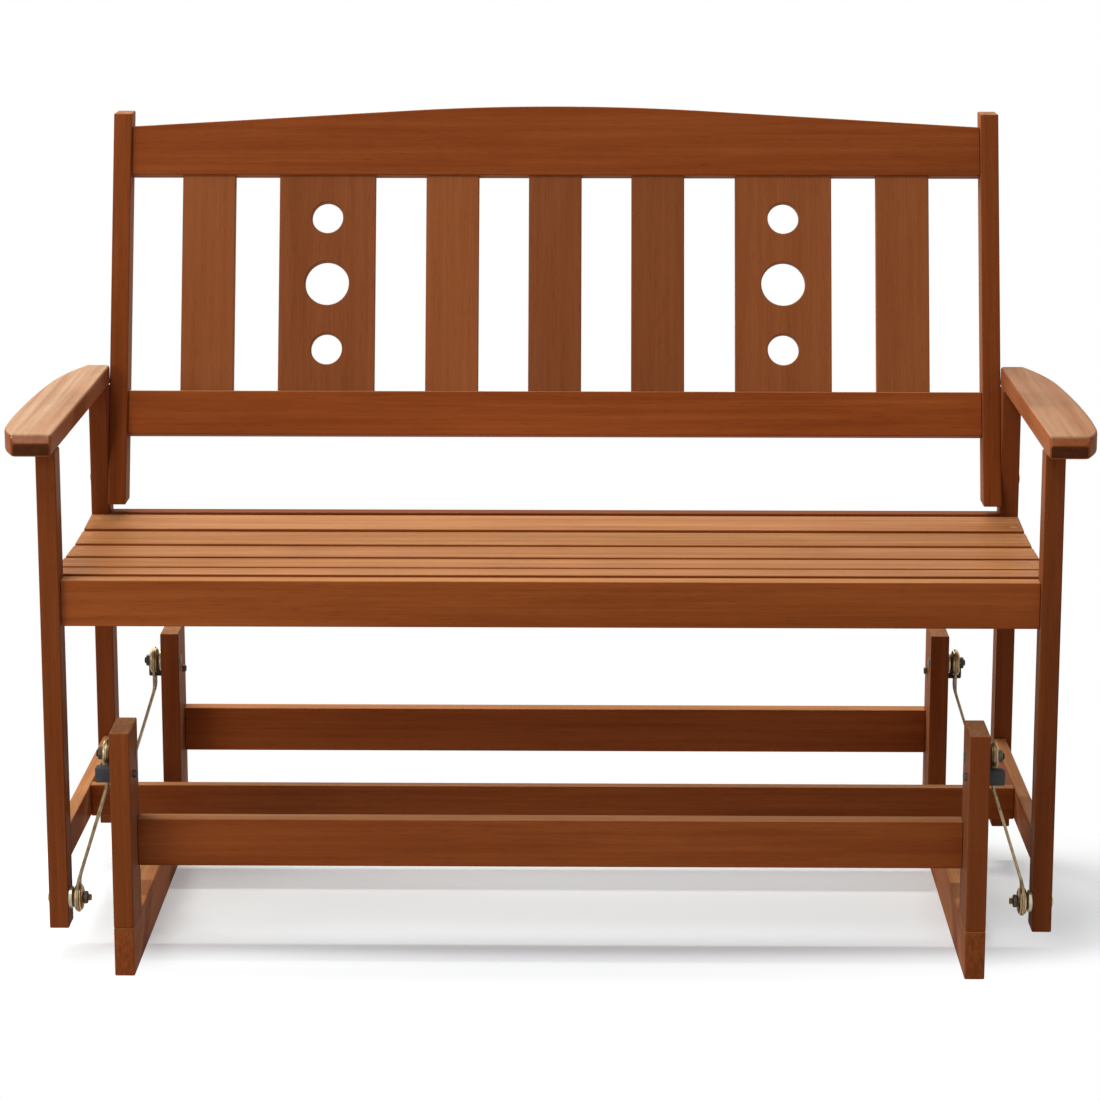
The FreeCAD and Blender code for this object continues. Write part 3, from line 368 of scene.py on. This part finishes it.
def floor_material():
    """White studio floor: it takes shadows near the bench and fades to the white background."""
    shader = Shader("studio_floor")
    cloud = shader.noise((1.5, 1.5, 1.5), 2, 0.5)
    rays = shader.add("LightPath").outputs
    lit = shader.ramp(cloud, (0.3, (0.845, 0.9, 0.965)), (0.7, (0.86, 0.915, 0.98)))
    bounced = shader.mix(1.0, lit, FLOOR_BOUNCE, "MULTIPLY")
    seen = shader.math("MAXIMUM", rays["Is Camera Ray"], rays["Is Glossy Ray"])
    shader.set(Base_Color=shader.mix(seen, bounced, lit), Roughness=0.9, Specular_IOR_Level=0.0)
    place = shader.add("TexCoord").outputs["Object"]
    oval = shader.add("VectorMath", {0: place, 1: FLOOR_OVAL}, operation="MULTIPLY").outputs[0]
    reach = shader.add("VectorMath", {0: oval}, operation="LENGTH").outputs["Value"]
    fade = shader.add("MapRange", {"Value": reach, "From Min": FLOOR_CLEAR, "From Max": FLOOR_WHITE},
                      interpolation_type="SMOOTHSTEP").outputs[0]
    share = shader.add("MapRange", {"Value": fade, "To Min": SHADOW_LIFT, "To Max": 1.0}).outputs[0]
    white = shader.add("Emission", {"Color": WHITE, "Strength": 1.0}).outputs[0]
    top = shader.blend(shader.math("MULTIPLY", share, seen), shader.surface.outputs[0], white)
    # From below the floor is clear, so that the underside of the bench can be looked at.
    below = shader.add("NewGeometry").outputs["Backfacing"]
    clear = shader.add("BsdfTransparent").outputs[0]
    shader.put(shader.nodes["Material Output"].inputs["Surface"], shader.blend(below, top, clear))
    return shader.material


OILED = wood("oiled_wood", BOARD_TONES)
OILED_LEGS = wood("oiled_wood_of_the_legs", LEG_TONES)
# Painted shade: the seat's rear rail lies in the back's shade, so it takes the legs' darker tones and no
# painted top light.
SHADED_REAR_RAIL_WOOD = wood("oiled_wood_of_the_rear_rail_in_painted_shade", LEG_TONES, top_light=NO_PAINTED_TOP_LIGHT)
OILED_BACK = wood("oiled_wood_of_the_back", BACK_TONES)
# One copy of the arm wood for each side; they differ only in their painted top light.
OILED_ARMS = {side: wood(f"oiled_wood_of_the_{side}_arm", ARM_TONES, ARM_END_SHARE, ARM_PAINTED_TOP_LIGHT[side])
              for side in SIDES}
DOWEL = wood("dowel_wood", DOWEL_TONES)
ARM_METAL = metal("arm_plating", (0.36, 0.27, 0.145), (0.18, 0.125, 0.062), 0.36)
BRASS = metal("bearing_plating", (0.55, 0.42, 0.22), (0.3, 0.21, 0.098), 0.3)
DARK_METAL = metal("bolt_plating", (0.1, 0.09, 0.075), (0.045, 0.038, 0.03), 0.42)
SLEEVE_METAL = metal("sleeve_plating", (0.55, 0.5, 0.38), (0.34, 0.29, 0.2), 0.32)
RUBBER = rubber("bumper_rubber")
PIVOT_METALS = {"upper": DARK_METAL, "lower": BRASS}


# Making pieces

def new_piece(name, mesh, place, material, body, node, ease=None, smooth=35):
    """Put a mesh in the scene as a piece that rides on a body and stands for a CAD node.

    Edges sharper than smooth, in degrees, are eased by a bevel, or left sharp if there is no ease.
    """
    piece = bpy.data.objects.new(name, mesh)
    bpy.context.scene.collection.objects.link(piece)
    piece.matrix_world = place
    mesh.materials.clear()
    mesh.materials.append(material)
    mesh.shade_smooth()
    if ease:
        bevel = piece.modifiers.new("eased edges", "BEVEL")
        bevel.width = ease
        bevel.segments = EASE_STEPS
        bevel.limit_method = "ANGLE"
        bevel.angle_limit = math.radians(smooth)
        bevel.harden_normals = True
        bevel.use_clamp_overlap = False
    else:
        mesh.set_sharp_from_angle(angle=math.radians(smooth))
    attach(piece, body)
    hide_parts(node)


def opened(mesh):
    work = bmesh.new()
    work.from_mesh(mesh)
    return work


def closed(work, mesh):
    """Write a mesh back with its faces looking outward."""
    bmesh.ops.recalc_face_normals(work, faces=work.faces)
    work.to_mesh(mesh)
    work.free()
    return mesh


def everything(work):
    return work.verts[:] + work.edges[:] + work.faces[:]


def corners_of(points):
    """The low and high corners of the box round some points."""
    low = Vector([min(point[axis] for point in points) for axis in range(3)])
    high = Vector([max(point[axis] for point in points) for axis in range(3)])
    return low, high


def turned_corners(node, tilt):
    """The low and high corners of a node in axes that are turned by tilt about X."""
    back = Matrix.Rotation(-tilt, 3, "X")
    return corners_of([back @ vertex.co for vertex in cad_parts[node].data.vertices])


def box_mesh(name, size):
    work = bmesh.new()
    bmesh.ops.create_cube(work, size=1)
    bmesh.ops.scale(work, vec=size, verts=work.verts)
    return closed(work, bpy.data.meshes.new(name))


def board_axes(size):
    """Unit axes along a board's length, width and thickness, right-handed."""
    order = sorted(range(3), key=lambda axis: -size[axis])
    columns = [Vector([1.0 if row == axis else 0.0 for row in range(3)]) for axis in order]
    if columns[0].cross(columns[1]).dot(columns[2]) < 0:
        columns[2] = -columns[2]
    return Matrix(columns).transposed(), [size[axis] for axis in order]


def board(node, body, tilt=0.0, material=OILED):
    """A straight board in the place of a CAD node, its own X along the grain."""
    low, high = turned_corners(node, tilt)
    axes, size = board_axes(high - low)
    turn = Matrix.Rotation(tilt, 3, "X")
    place = Matrix.Translation(turn @ ((low + high) / 2)) @ (turn @ axes).to_4x4()
    new_piece(node + "_board", box_mesh(node, size), place, material, body, node, EASE)


def circle(centre, radius):
    points = []
    for step in range(ROUND_STEPS):
        angle = step * math.tau / ROUND_STEPS
        points.append(centre + radius * Vector((math.cos(angle), math.sin(angle))))
    return points


def cut_out(name, outline, holes, thickness):
    """A flat plate with an outline in its own XY plane, round holes, and its middle at Z 0."""
    curve = bpy.data.curves.new(name, "CURVE")
    curve.dimensions = "2D"
    curve.fill_mode = "BOTH"
    curve.extrude = thickness / 2
    for loop in [outline] + [circle(centre, radius) for centre, radius in holes]:
        spline = curve.splines.new("POLY")
        spline.points.add(len(loop) - 1)
        spline.use_cyclic_u = True
        for point, corner in zip(spline.points, loop):
            point.co = (corner[0], corner[1], 0, 1)
    holder = bpy.data.objects.new(name, curve)
    bpy.context.scene.collection.objects.link(holder)
    bpy.context.view_layer.update()
    mesh = bpy.data.meshes.new_from_object(holder.evaluated_get(bpy.context.evaluated_depsgraph_get()))
    bpy.data.objects.remove(holder)
    bpy.data.curves.remove(curve)
    work = opened(mesh)
    bmesh.ops.remove_doubles(work, verts=work.verts, dist=WELD)
    bmesh.ops.dissolve_limit(work, angle_limit=FLAT, verts=work.verts, edges=work.edges)
    return closed(work, mesh)


def arc(start, end, radius, count):
    """Points after start up to end on an arc; a positive radius has its centre on the left."""
    start, end = Vector(start), Vector(end)
    chord = end - start
    left = Vector((-chord.y, chord.x)).normalized()
    offset = math.sqrt(radius * radius - chord.length_squared / 4)
    centre = (start + end) / 2 + left * math.copysign(offset, radius)
    first = start - centre
    sweep = -first.angle_signed(end - centre)
    return [centre + Matrix.Rotation(sweep * step / count, 2) @ first for step in range(1, count + 1)]


def lathe(name, outline, steps=ROUND_STEPS):
    """A mesh turned round its own X axis from points (along, radius), closed on itself."""
    work = bmesh.new()
    rings = []
    for along, radius in outline:
        if radius == 0:
            rings.append([work.verts.new((along, 0, 0))])
            continue
        ring = []
        for step in range(steps):
            angle = step * math.tau / steps
            ring.append(work.verts.new((along, radius * math.cos(angle), radius * math.sin(angle))))
        rings.append(ring)
    for first, second in zip(rings, rings[1:] + rings[:1]):
        if len(first) == 1 and len(second) == 1:
            continue
        for step in range(steps):
            after = (step + 1) % steps
            corners = [first[step % len(first)], first[after % len(first)],
                       second[after % len(second)], second[step % len(second)]]
            # Next to a single point, two of the corners are the same and the face is a triangle.
            work.faces.new(dict.fromkeys(corners))
    return closed(work, bpy.data.meshes.new(name))


def ring_radius(flats, limit, angle):
    """How far a hexagon reaches at an angle, up to a limit, or a circle if it has no flats."""
    if flats is None:
        return limit
    part = (angle + math.pi / 6) % (math.pi / 3) - math.pi / 6
    return min(flats / 2 / math.cos(part), limit)


def ringed(name, rings, steps, capped):
    """A mesh from rings (along, flats, limit) round its own X axis, capped or closed on itself."""
    work = bmesh.new()
    loops = []
    for along, flats, limit in rings:
        loop = []
        for step in range(steps):
            angle = step * math.tau / steps
            radius = ring_radius(flats, limit, angle)
            loop.append(work.verts.new((along, radius * math.sin(angle), radius * math.cos(angle))))
        loops.append(loop)
    following = loops[1:] if capped else loops[1:] + loops[:1]
    for first, second in zip(loops, following):
        for step in range(steps):
            after = (step + 1) % steps
            work.faces.new((first[step], first[after], second[after], second[step]))
    if capped:
        work.faces.new(loops[0])
        work.faces.new(loops[-1])
    return closed(work, bpy.data.meshes.new(name))


# Wooden parts

def seat_tilt(back):
    """How far the dished seat leans at a distance behind the origin."""
    return (back - DISH_MIDDLE) / DISH_RADIUS


def base_frame():
    """Two runners on the floor, a post near each end of them, and a rail between each pair of posts."""
    for side in SIDES:
        board(f"base_runner_{side}", "base")
        for end in ENDS:
            board(f"base_post_{end}_{side}", "base", material=OILED_LEGS)
    for end in ENDS:
        board(f"base_rail_{end}", "base")


def seat_frame():
    """The legs and the straight rails between them, and the leaning rail under the back's slats."""
    for side in SIDES:
        for end in ENDS:
            board(f"{end}_leg_{side}", "seat", material=OILED_LEGS)
        board(f"lower_side_rail_{side}", "seat")
    board("seat_front_rail", "seat")
    board("seat_rear_rail", "seat", material=SHADED_REAR_RAIL_WOOD)
    board("cross_stretcher", "seat")
    board("back_bottom_rail", "seat", -LEAN)


def seat_slats():
    """Each slat leans as the dished seat does under its middle."""
    for number in SEAT_SLATS:
        node = f"seat_slat_{number}"
        low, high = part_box(node)
        board(node, "seat", seat_tilt((low.y + high.y) / 2))


def narrow_slats():
    for number in NARROW_SLATS:
        board(f"back_slat_{number}", "seat", -LEAN, OILED_BACK)


def shaped(node, origin, along, across, outline, thickness, holes=(), material=OILED):
    """A board cut to an outline; along and across are the outline's axes, along is the grain."""
    axes = Matrix((along, across, along.cross(across))).transposed().to_4x4()
    place = Matrix.Translation(origin) @ axes
    mesh = cut_out(node, outline, holes, thickness)
    new_piece(node + "_shape", mesh, place, material, "seat", node, EASE)


def back_stiles():
    """Leaning boards whose ends are cut level."""
    for side in SIDES:
        node = f"back_stile_{side}"
        low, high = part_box(node)
        start = Vector(((low.x + high.x) / 2, low.y, low.z))
        depth = (high.y - low.y - (high.z - low.z) * math.tan(LEAN)) * math.cos(LEAN)
        rise = (high.z - low.z) / math.cos(LEAN)
        slip = depth * math.tan(LEAN)
        outline = [(0, 0), (rise, 0), (rise + slip, depth), (slip, depth)]
        shaped(node, start, UP_SLOPE, BEHIND_SLOPE, outline, high.x - low.x, material=OILED_LEGS)


def top_rail():
    """The middle of the top edge is an arc, and it runs on straight down to each stile."""
    node = "back_top_rail"
    low, high = turned_corners(node, -LEAN)
    middle = Matrix.Rotation(-LEAN, 3, "X") @ Vector((0, (low.y + high.y) / 2, low.z))
    width = high.z - low.z
    outline = [(low.x, 0), (high.x, 0), (high.x, width - CROWN_RISE), (CROWN_BEND, width - CROWN_DROP)]
    radius = (CROWN_BEND ** 2 + CROWN_DROP ** 2) / (2 * CROWN_DROP)
    outline += arc(outline[-1], (-CROWN_BEND, width - CROWN_DROP), radius, CROWN_STEPS)
    outline.append((low.x, width - CROWN_RISE))
    shaped(node, middle, ACROSS, UP_SLOPE, outline, high.y - low.y)


def wide_slats():
    """The two back slats with three round holes each."""
    start = (Matrix.Rotation(LEAN, 3, "X") @ SLOPE_START).z
    for number in WIDE_SLATS:
        node = f"back_slat_{number}"
        low, high = turned_corners(node, -LEAN)
        origin = Matrix.Rotation(-LEAN, 3, "X") @ Vector((0, (low.y + high.y) / 2, 0))
        outline = [(low.z, low.x), (high.z, low.x), (high.z, high.x), (low.z, high.x)]
        middle = Vector((start + HOLE_MIDDLE, (low.x + high.x) / 2))
        spacing = Vector((HOLE_SPACING, 0))
        holes = [(middle, MIDDLE_HOLE), (middle - spacing, END_HOLE), (middle + spacing, END_HOLE)]
        shaped(node, origin, UP_SLOPE, ACROSS, outline, high.y - low.y, holes, OILED_BACK)


def seat_side_rails():
    """The rails under the slats' ends, hollowed along their top."""
    for side in SIDES:
        node = f"seat_side_rail_{side}"
        low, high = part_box(node)
        centre = DISH_LOW + DISH_RADIUS
        front_top, rear_top = [centre - math.sqrt(RAIL_DISH_RADIUS ** 2 - (back - DISH_MIDDLE) ** 2)
                               for back in (low.y, high.y)]
        outline = [(low.y, low.z), (high.y, low.z), (high.y, rear_top)]
        outline += arc(outline[-1], (low.y, front_top), -RAIL_DISH_RADIUS, DISH_STEPS)
        shaped(node, Vector(((low.x + high.x) / 2, 0, 0)), BACKWARD, UPWARD, outline, high.x - low.x)


def armrest_outline(front, rear, sign):
    """An armrest seen from above as (back, out), its bowed edge away from the seat."""
    outline = [Vector((front, LEG_INNER)), Vector((front, ARM_FRONT_OUTER - ARM_CORNER))]
    outline += arc(outline[-1], (front + ARM_CORNER, ARM_FRONT_OUTER), -ARM_CORNER, ARM_CORNER_STEPS)
    for back, outer, radius in ARM_CURVES:
        outline += arc(outline[-1], (back - FRONT, outer), -radius, ARM_CURVE_STEPS)
    outline.append(Vector((rear, LEG_INNER)))
    return [Vector((point.x, -sign * point.y)) for point in outline]


def armrest(side):
    """A bowed board with a bevel along its front edge, on top of both legs."""
    node = f"armrest_{side}"
    low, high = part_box(node)
    mesh = cut_out(node, armrest_outline(low.y, high.y, SIDES[side]), [], high.z - low.z)
    work = opened(mesh)
    cut = Vector((low.y, 0, (high.z - low.z) / 2 - NOSE_DROP))
    slope = Vector((-NOSE_DROP, 0, NOSE_DEPTH)).normalized()
    sliced = bmesh.ops.bisect_plane(work, geom=everything(work), plane_co=cut, plane_no=slope,
                                    clear_outer=True)
    rim = [item for item in sliced["geom_cut"] if isinstance(item, bmesh.types.BMEdge)]
    bmesh.ops.contextual_create(work, geom=rim)
    closed(work, mesh)
    axes = Matrix((BACKWARD, -ACROSS, UPWARD)).transposed().to_4x4()
    place = Matrix.Translation((0, 0, (low.z + high.z) / 2)) @ axes
    new_piece(node + "_shape", mesh, place, OILED_ARMS[side], "seat", node, ARM_EASE)


# Hardware

def solids(node):
    """The low and high corners of each separate solid in a CAD node."""
    work = opened(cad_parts[node].data)
    bmesh.ops.remove_doubles(work, verts=work.verts, dist=WELD)
    left = set(work.verts)
    found = []
    while left:
        ready = [left.pop()]
        group = []
        while ready:
            vertex = ready.pop()
            group.append(vertex.co.copy())
            for edge in vertex.link_edges:
                other = edge.other_vert(vertex)
                if other in left:
                    left.remove(other)
                    ready.append(other)
        found.append(corners_of(group))
    work.free()
    return sorted(found, key=lambda corners: tuple(corners[0]))


def outward(low, high, way):
    """A place at a solid's end, its own X pointing away from the bench's middle, or back if way is -1."""
    sign = 1 if low.x > 0 else -1
    near, far = sorted((abs(low.x), abs(high.x)))
    start = sign * (near if way > 0 else far)
    turn = Matrix.Rotation(0 if sign * way > 0 else math.pi, 4, "Z")
    return Matrix.Translation((start, (low.y + high.y) / 2, (low.z + high.z) / 2)) @ turn


def one_each(node, make, way=1):
    """For each solid in a CAD node, a mesh made to its size, and its place."""
    return [(make(high - low), outward(low, high, way)) for low, high in solids(node)]


def gather(name, parts, material, body, node, smooth=30):
    """One piece of several meshes, each with its own place."""
    mesh = bpy.data.meshes.new(name)
    work = bmesh.new()
    for part, place in parts:
        part.transform(place)
        work.from_mesh(part)
        bpy.data.meshes.remove(part)
    work.to_mesh(mesh)
    work.free()
    new_piece(name, mesh, Matrix.Identity(4), material, body, node, smooth=smooth)


def thread(start, end, radius):
    """Points down a bolt's end, with the ridges of its thread."""
    count = max(1, round((end - start) / THREAD_PITCH))
    step = (end - start) / count
    points = []
    for ridge in range(count):
        points += [(start + step * ridge, radius - THREAD_DEPTH), (start + step * (ridge + 0.5), radius)]
    return points + [(end, radius - THREAD_DEPTH), (end, 0)]


def pivot_bolt(level, size):
    """A low domed head, a shank and a threaded end."""
    outline = [(0, 0)]
    for depth, share in DOMES[level]:
        outline.append((depth, share * size.y / 2))
    outline.append((depth, BOLT_RADIUS))
    return lathe("bolt", outline + thread(size.x - THREADED[level], size.x, BOLT_RADIUS))


def pivot_bolts():
    """The upper bolts' heads are inside the posts, and the lower bolts' heads outside the legs."""
    for level, (body, way) in LEVELS.items():
        node = f"{level}_pivot_bolts"
        parts = one_each(node, lambda size: pivot_bolt(level, size), way)
        gather(f"{level}_bolt_set", parts, PIVOT_METALS[level], body, node)


def nut(size):
    """A six-sided nut whose corners are turned down at both ends."""
    flats = min(size.y, size.z)
    places = [(depth, depth) for depth in NUT_RINGS]
    places += [(size.x - depth, depth) for depth in reversed(NUT_RINGS)]
    rings = []
    for along, depth in places:
        rings.append((along, flats, flats / 2 * NUT_END_SHARE + depth * math.tan(NUT_SLOPE)))
    rings += [(size.x, None, BOLT_RADIUS), (0, None, BOLT_RADIUS)]
    return ringed("nut", rings, NUT_STEPS, False)


def pivot_nuts():
    for level, (body, _) in LEVELS.items():
        node = f"{level}_pivot_nuts"
        gather(f"{level}_nut_set", one_each(node, nut), DARK_METAL, body, node)


def sleeve(level, size):
    """A turned sleeve with a wide foot against the wood."""
    foot = FOOT[level]
    radius = size.y / 2
    outline = [(0, BOLT_RADIUS), (size.x, BOLT_RADIUS)]
    outline += [(size.x, SLEEVE_RADIUS - SLEEVE_EDGE), (size.x - SLEEVE_EDGE, SLEEVE_RADIUS)]
    outline.append((foot, SLEEVE_RADIUS))
    for depth, share in FOOT_CURVE:
        outline.append((foot - depth, share * radius))
    outline += [(FOOT_EDGE, radius), (0, radius - FOOT_EDGE)]
    return lathe("sleeve", outline)


def pivot_sleeves():
    for level, (body, way) in LEVELS.items():
        node = f"{level}_pivot_sleeves"
        parts = one_each(node, lambda size: sleeve(level, size), way)
        gather(f"{level}_sleeve_set", parts, SLEEVE_METAL, body, node)


def bearings(end, side):
    """A pressed bearing cup at each end of an arm, with a rolled rim on both sides of the bar."""
    node = f"bearings_{end}_{side}"
    parts = one_each(node, lambda size: lathe("cup", CUP, CUP_STEPS))
    gather(node + "_cups", parts, BRASS, f"arm_{end}_{side}", node)


def arm_outline(levels, eye):
    """A bar seen from its side as (up, across): an eye at the upper level and one at the lower."""
    reach = math.pi - math.asin(BAR_HALF_WIDTH / eye)
    outline = []
    for centre, turn in ((levels[1], 0.0), (levels[0], math.pi)):
        for step in range(EYE_STEPS + 1):
            angle = turn - reach + 2 * reach * step / EYE_STEPS
            outline.append(Vector((centre + eye * math.cos(angle), eye * math.sin(angle))))
    return outline


def arm_offset(up, near, far):
    """How far out an arm's plate stands at a height, with rounded bends."""

    def below(bend):
        depth = bend - up
        if depth <= -BEND_REACH:
            return 0.0
        if depth >= BEND_REACH:
            return depth
        return (depth + BEND_REACH) ** 2 / (4 * BEND_REACH)

    return near + (far - near) / (UPPER_BEND - LOWER_BEND) * (below(UPPER_BEND) - below(LOWER_BEND))


def swing_arm(end, side):
    """A flat bar with an eye at each end, bent twice between them."""
    node = f"swing_arm_{end}_{side}"
    low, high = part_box(node)
    sign = SIDES[side]
    middle = (low.y + high.y) / 2
    eye = (high.y - low.y) / 2
    levels = (low.z + eye, high.z - eye)
    near = min(abs(low.x), abs(high.x)) + BAR_THICKNESS / 2
    far = max(abs(low.x), abs(high.x)) - BAR_THICKNESS / 2
    holes = [(Vector((level, 0)), CUP_HOLE) for level in levels]
    mesh = cut_out(node, arm_outline(levels, eye), holes, BAR_THICKNESS)
    work = opened(mesh)
    for bend in (UPPER_BEND, LOWER_BEND):
        for step in range(-BEND_STEPS, BEND_STEPS + 1):
            cut = (bend + BEND_REACH * step / BEND_STEPS, 0, 0)
            bmesh.ops.bisect_plane(work, geom=everything(work), plane_co=cut, plane_no=(1, 0, 0))
    slant = 1 / math.cos(math.atan((far - near) / (UPPER_BEND - LOWER_BEND)))
    for vertex in work.verts:
        up, across, thick = vertex.co
        if LOWER_BEND < up < UPPER_BEND:
            thick *= slant
        vertex.co = (sign * (arm_offset(up, near, far) + sign * thick), middle + across, up)
    closed(work, mesh)
    new_piece(node + "_bar", mesh, Matrix.Identity(4), ARM_METAL, f"arm_{end}_{side}", node,
              BAR_EASE, smooth=40)


def bumpers():
    """Rubber blocks with rounded edges that stop the swing arms, and the screws that hold them."""
    parts = []
    for low, high in solids("rubber_bumpers"):
        mesh = box_mesh("bumper", high - low)
        work = opened(mesh)
        bmesh.ops.bevel(work, geom=work.edges[:], offset=BUMPER_EASE, segments=BUMPER_STEPS, profile=0.5,
                        affect="EDGES")
        parts.append((closed(work, mesh), Matrix.Translation((low + high) / 2)))
    gather("bumper_blocks", parts, RUBBER, "base", "rubber_bumpers", smooth=50)
    screws = one_each("bumper_screws", lambda size: recessed_head(SCREW_RADIUS, SCREW_HEIGHT))
    gather("bumper_screw_set", screws, DARK_METAL, "base", "bumper_screws")


def recessed_head(radius, height):
    """A low round head with a six-sided socket in it."""
    rings = [(height * depth, None, radius * share) for depth, share in HEAD_RINGS]
    rings += [(height * depth, 2 * SOCKET_RADIUS * share, math.inf) for depth, share in SOCKET_RINGS]
    return ringed("head", rings, ROUND_STEPS, True)


def frame_bolts():
    """The flat round heads of the bolts that hold the frames, each with its socket."""
    for node, body in (("frame_bolts", "seat"), ("base_rail_bolts", "base")):
        parts = one_each(node, lambda size: recessed_head(size.y / 2, FRAME_BOLT_HEIGHT), -1)
        gather(node + "_heads", parts, DARK_METAL, body, node)


def slat_plugs():
    """Wooden plugs over the seat slats' screws, a hair proud of the slats."""
    parts = []
    outline = [(along, PLUG_RADIUS * share) for along, share in PLUG_CURVE]
    upright = Matrix.Rotation(-math.pi / 2, 4, "Y")
    for low, high in solids("slat_plugs"):
        middle = (low + high) / 2
        lean = Matrix.Rotation(seat_tilt(middle.y), 4, "X")
        top = middle + lean @ Vector((0, 0, PLUG_DEPTH / 2))
        parts.append((lathe("plug", outline, PLUG_STEPS), Matrix.Translation(top) @ lean @ upright))
    gather("slat_plug_set", parts, OILED, "seat", "slat_plugs", smooth=40)


def hidden_fasteners():
    """Screws and dowels inside the joints keep their CAD shapes."""
    for node, material in (("slat_screws", DARK_METAL), ("post_dowels", DOWEL), ("frame_dowels", DOWEL)):
        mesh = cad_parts[node].data
        mesh.materials.clear()
        mesh.materials.append(material)


# Studio

def add_camera():
    camera = bpy.data.cameras.new("camera")
    camera.sensor_width = CAMERA_SENSOR
    camera.lens = CAMERA_LENS
    camera.clip_end = CAMERA_FAR
    holder = bpy.data.objects.new("camera", camera)
    holder.location = CAMERA_PLACE
    holder.rotation_euler = (math.pi / 2 - CAMERA_PITCH, 0, CAMERA_YAW)
    bpy.context.scene.collection.objects.link(holder)
    bpy.context.scene.camera = holder


def add_floor():
    mesh = bpy.data.meshes.new("studio_floor")
    work = bmesh.new()
    bmesh.ops.create_grid(work, x_segments=1, y_segments=1, size=FLOOR_SIZE)
    work.to_mesh(mesh)
    work.free()
    floor = bpy.data.objects.new("studio_floor", mesh)
    floor.location = (0, 0, -FLOOR_DEPTH)
    bpy.context.scene.collection.objects.link(floor)
    mesh.materials.append(floor_material())


def add_lamp(name, place, height, size, power, colour):
    lamp = bpy.data.lights.new(name, "AREA")
    lamp.shape = "RECTANGLE"
    lamp.size, lamp.size_y = size
    lamp.energy = power
    lamp.color = colour
    holder = bpy.data.objects.new(name, lamp)
    bpy.context.scene.collection.objects.link(holder)
    holder.location = place
    aim = Vector((0, 0, height)) - Vector(place)
    holder.rotation_euler = aim.to_track_quat("-Z", "Y").to_euler()


def add_world():
    """White where the camera or a reflection sees it, and a softer fill for the shading."""
    world = bpy.data.worlds.new("studio")
    bpy.context.scene.world = world
    world.use_nodes = True
    tree = Tree(world.node_tree)
    seen = tree.nodes["Background"]
    tree.put(seen.inputs["Color"], WHITE)
    tree.put(seen.inputs["Strength"], 1.0)
    fill = tree.add("Background", {"Color": WHITE, "Strength": FILL})
    rays = tree.add("LightPath").outputs
    direct = tree.math("MAXIMUM", rays["Is Camera Ray"], rays["Is Glossy Ray"])
    direct = tree.math("MAXIMUM", direct, rays["Is Transmission Ray"])
    surface = tree.blend(direct, fill.outputs[0], seen.outputs[0])
    tree.put(tree.nodes["World Output"].inputs["Surface"], surface)


bpy.context.scene.view_settings.view_transform = "Standard"
add_camera()
base_frame()
seat_frame()
seat_slats()
narrow_slats()
back_stiles()
top_rail()
wide_slats()
seat_side_rails()
for side in SIDES:
    armrest(side)
pivot_bolts()
pivot_nuts()
pivot_sleeves()
for end in ENDS:
    for side in SIDES:
        bearings(end, side)
        swing_arm(end, side)
bumpers()
frame_bolts()
slat_plugs()
hidden_fasteners()
add_floor()
add_world()
for lamp in LAMPS:
    add_lamp(*lamp)
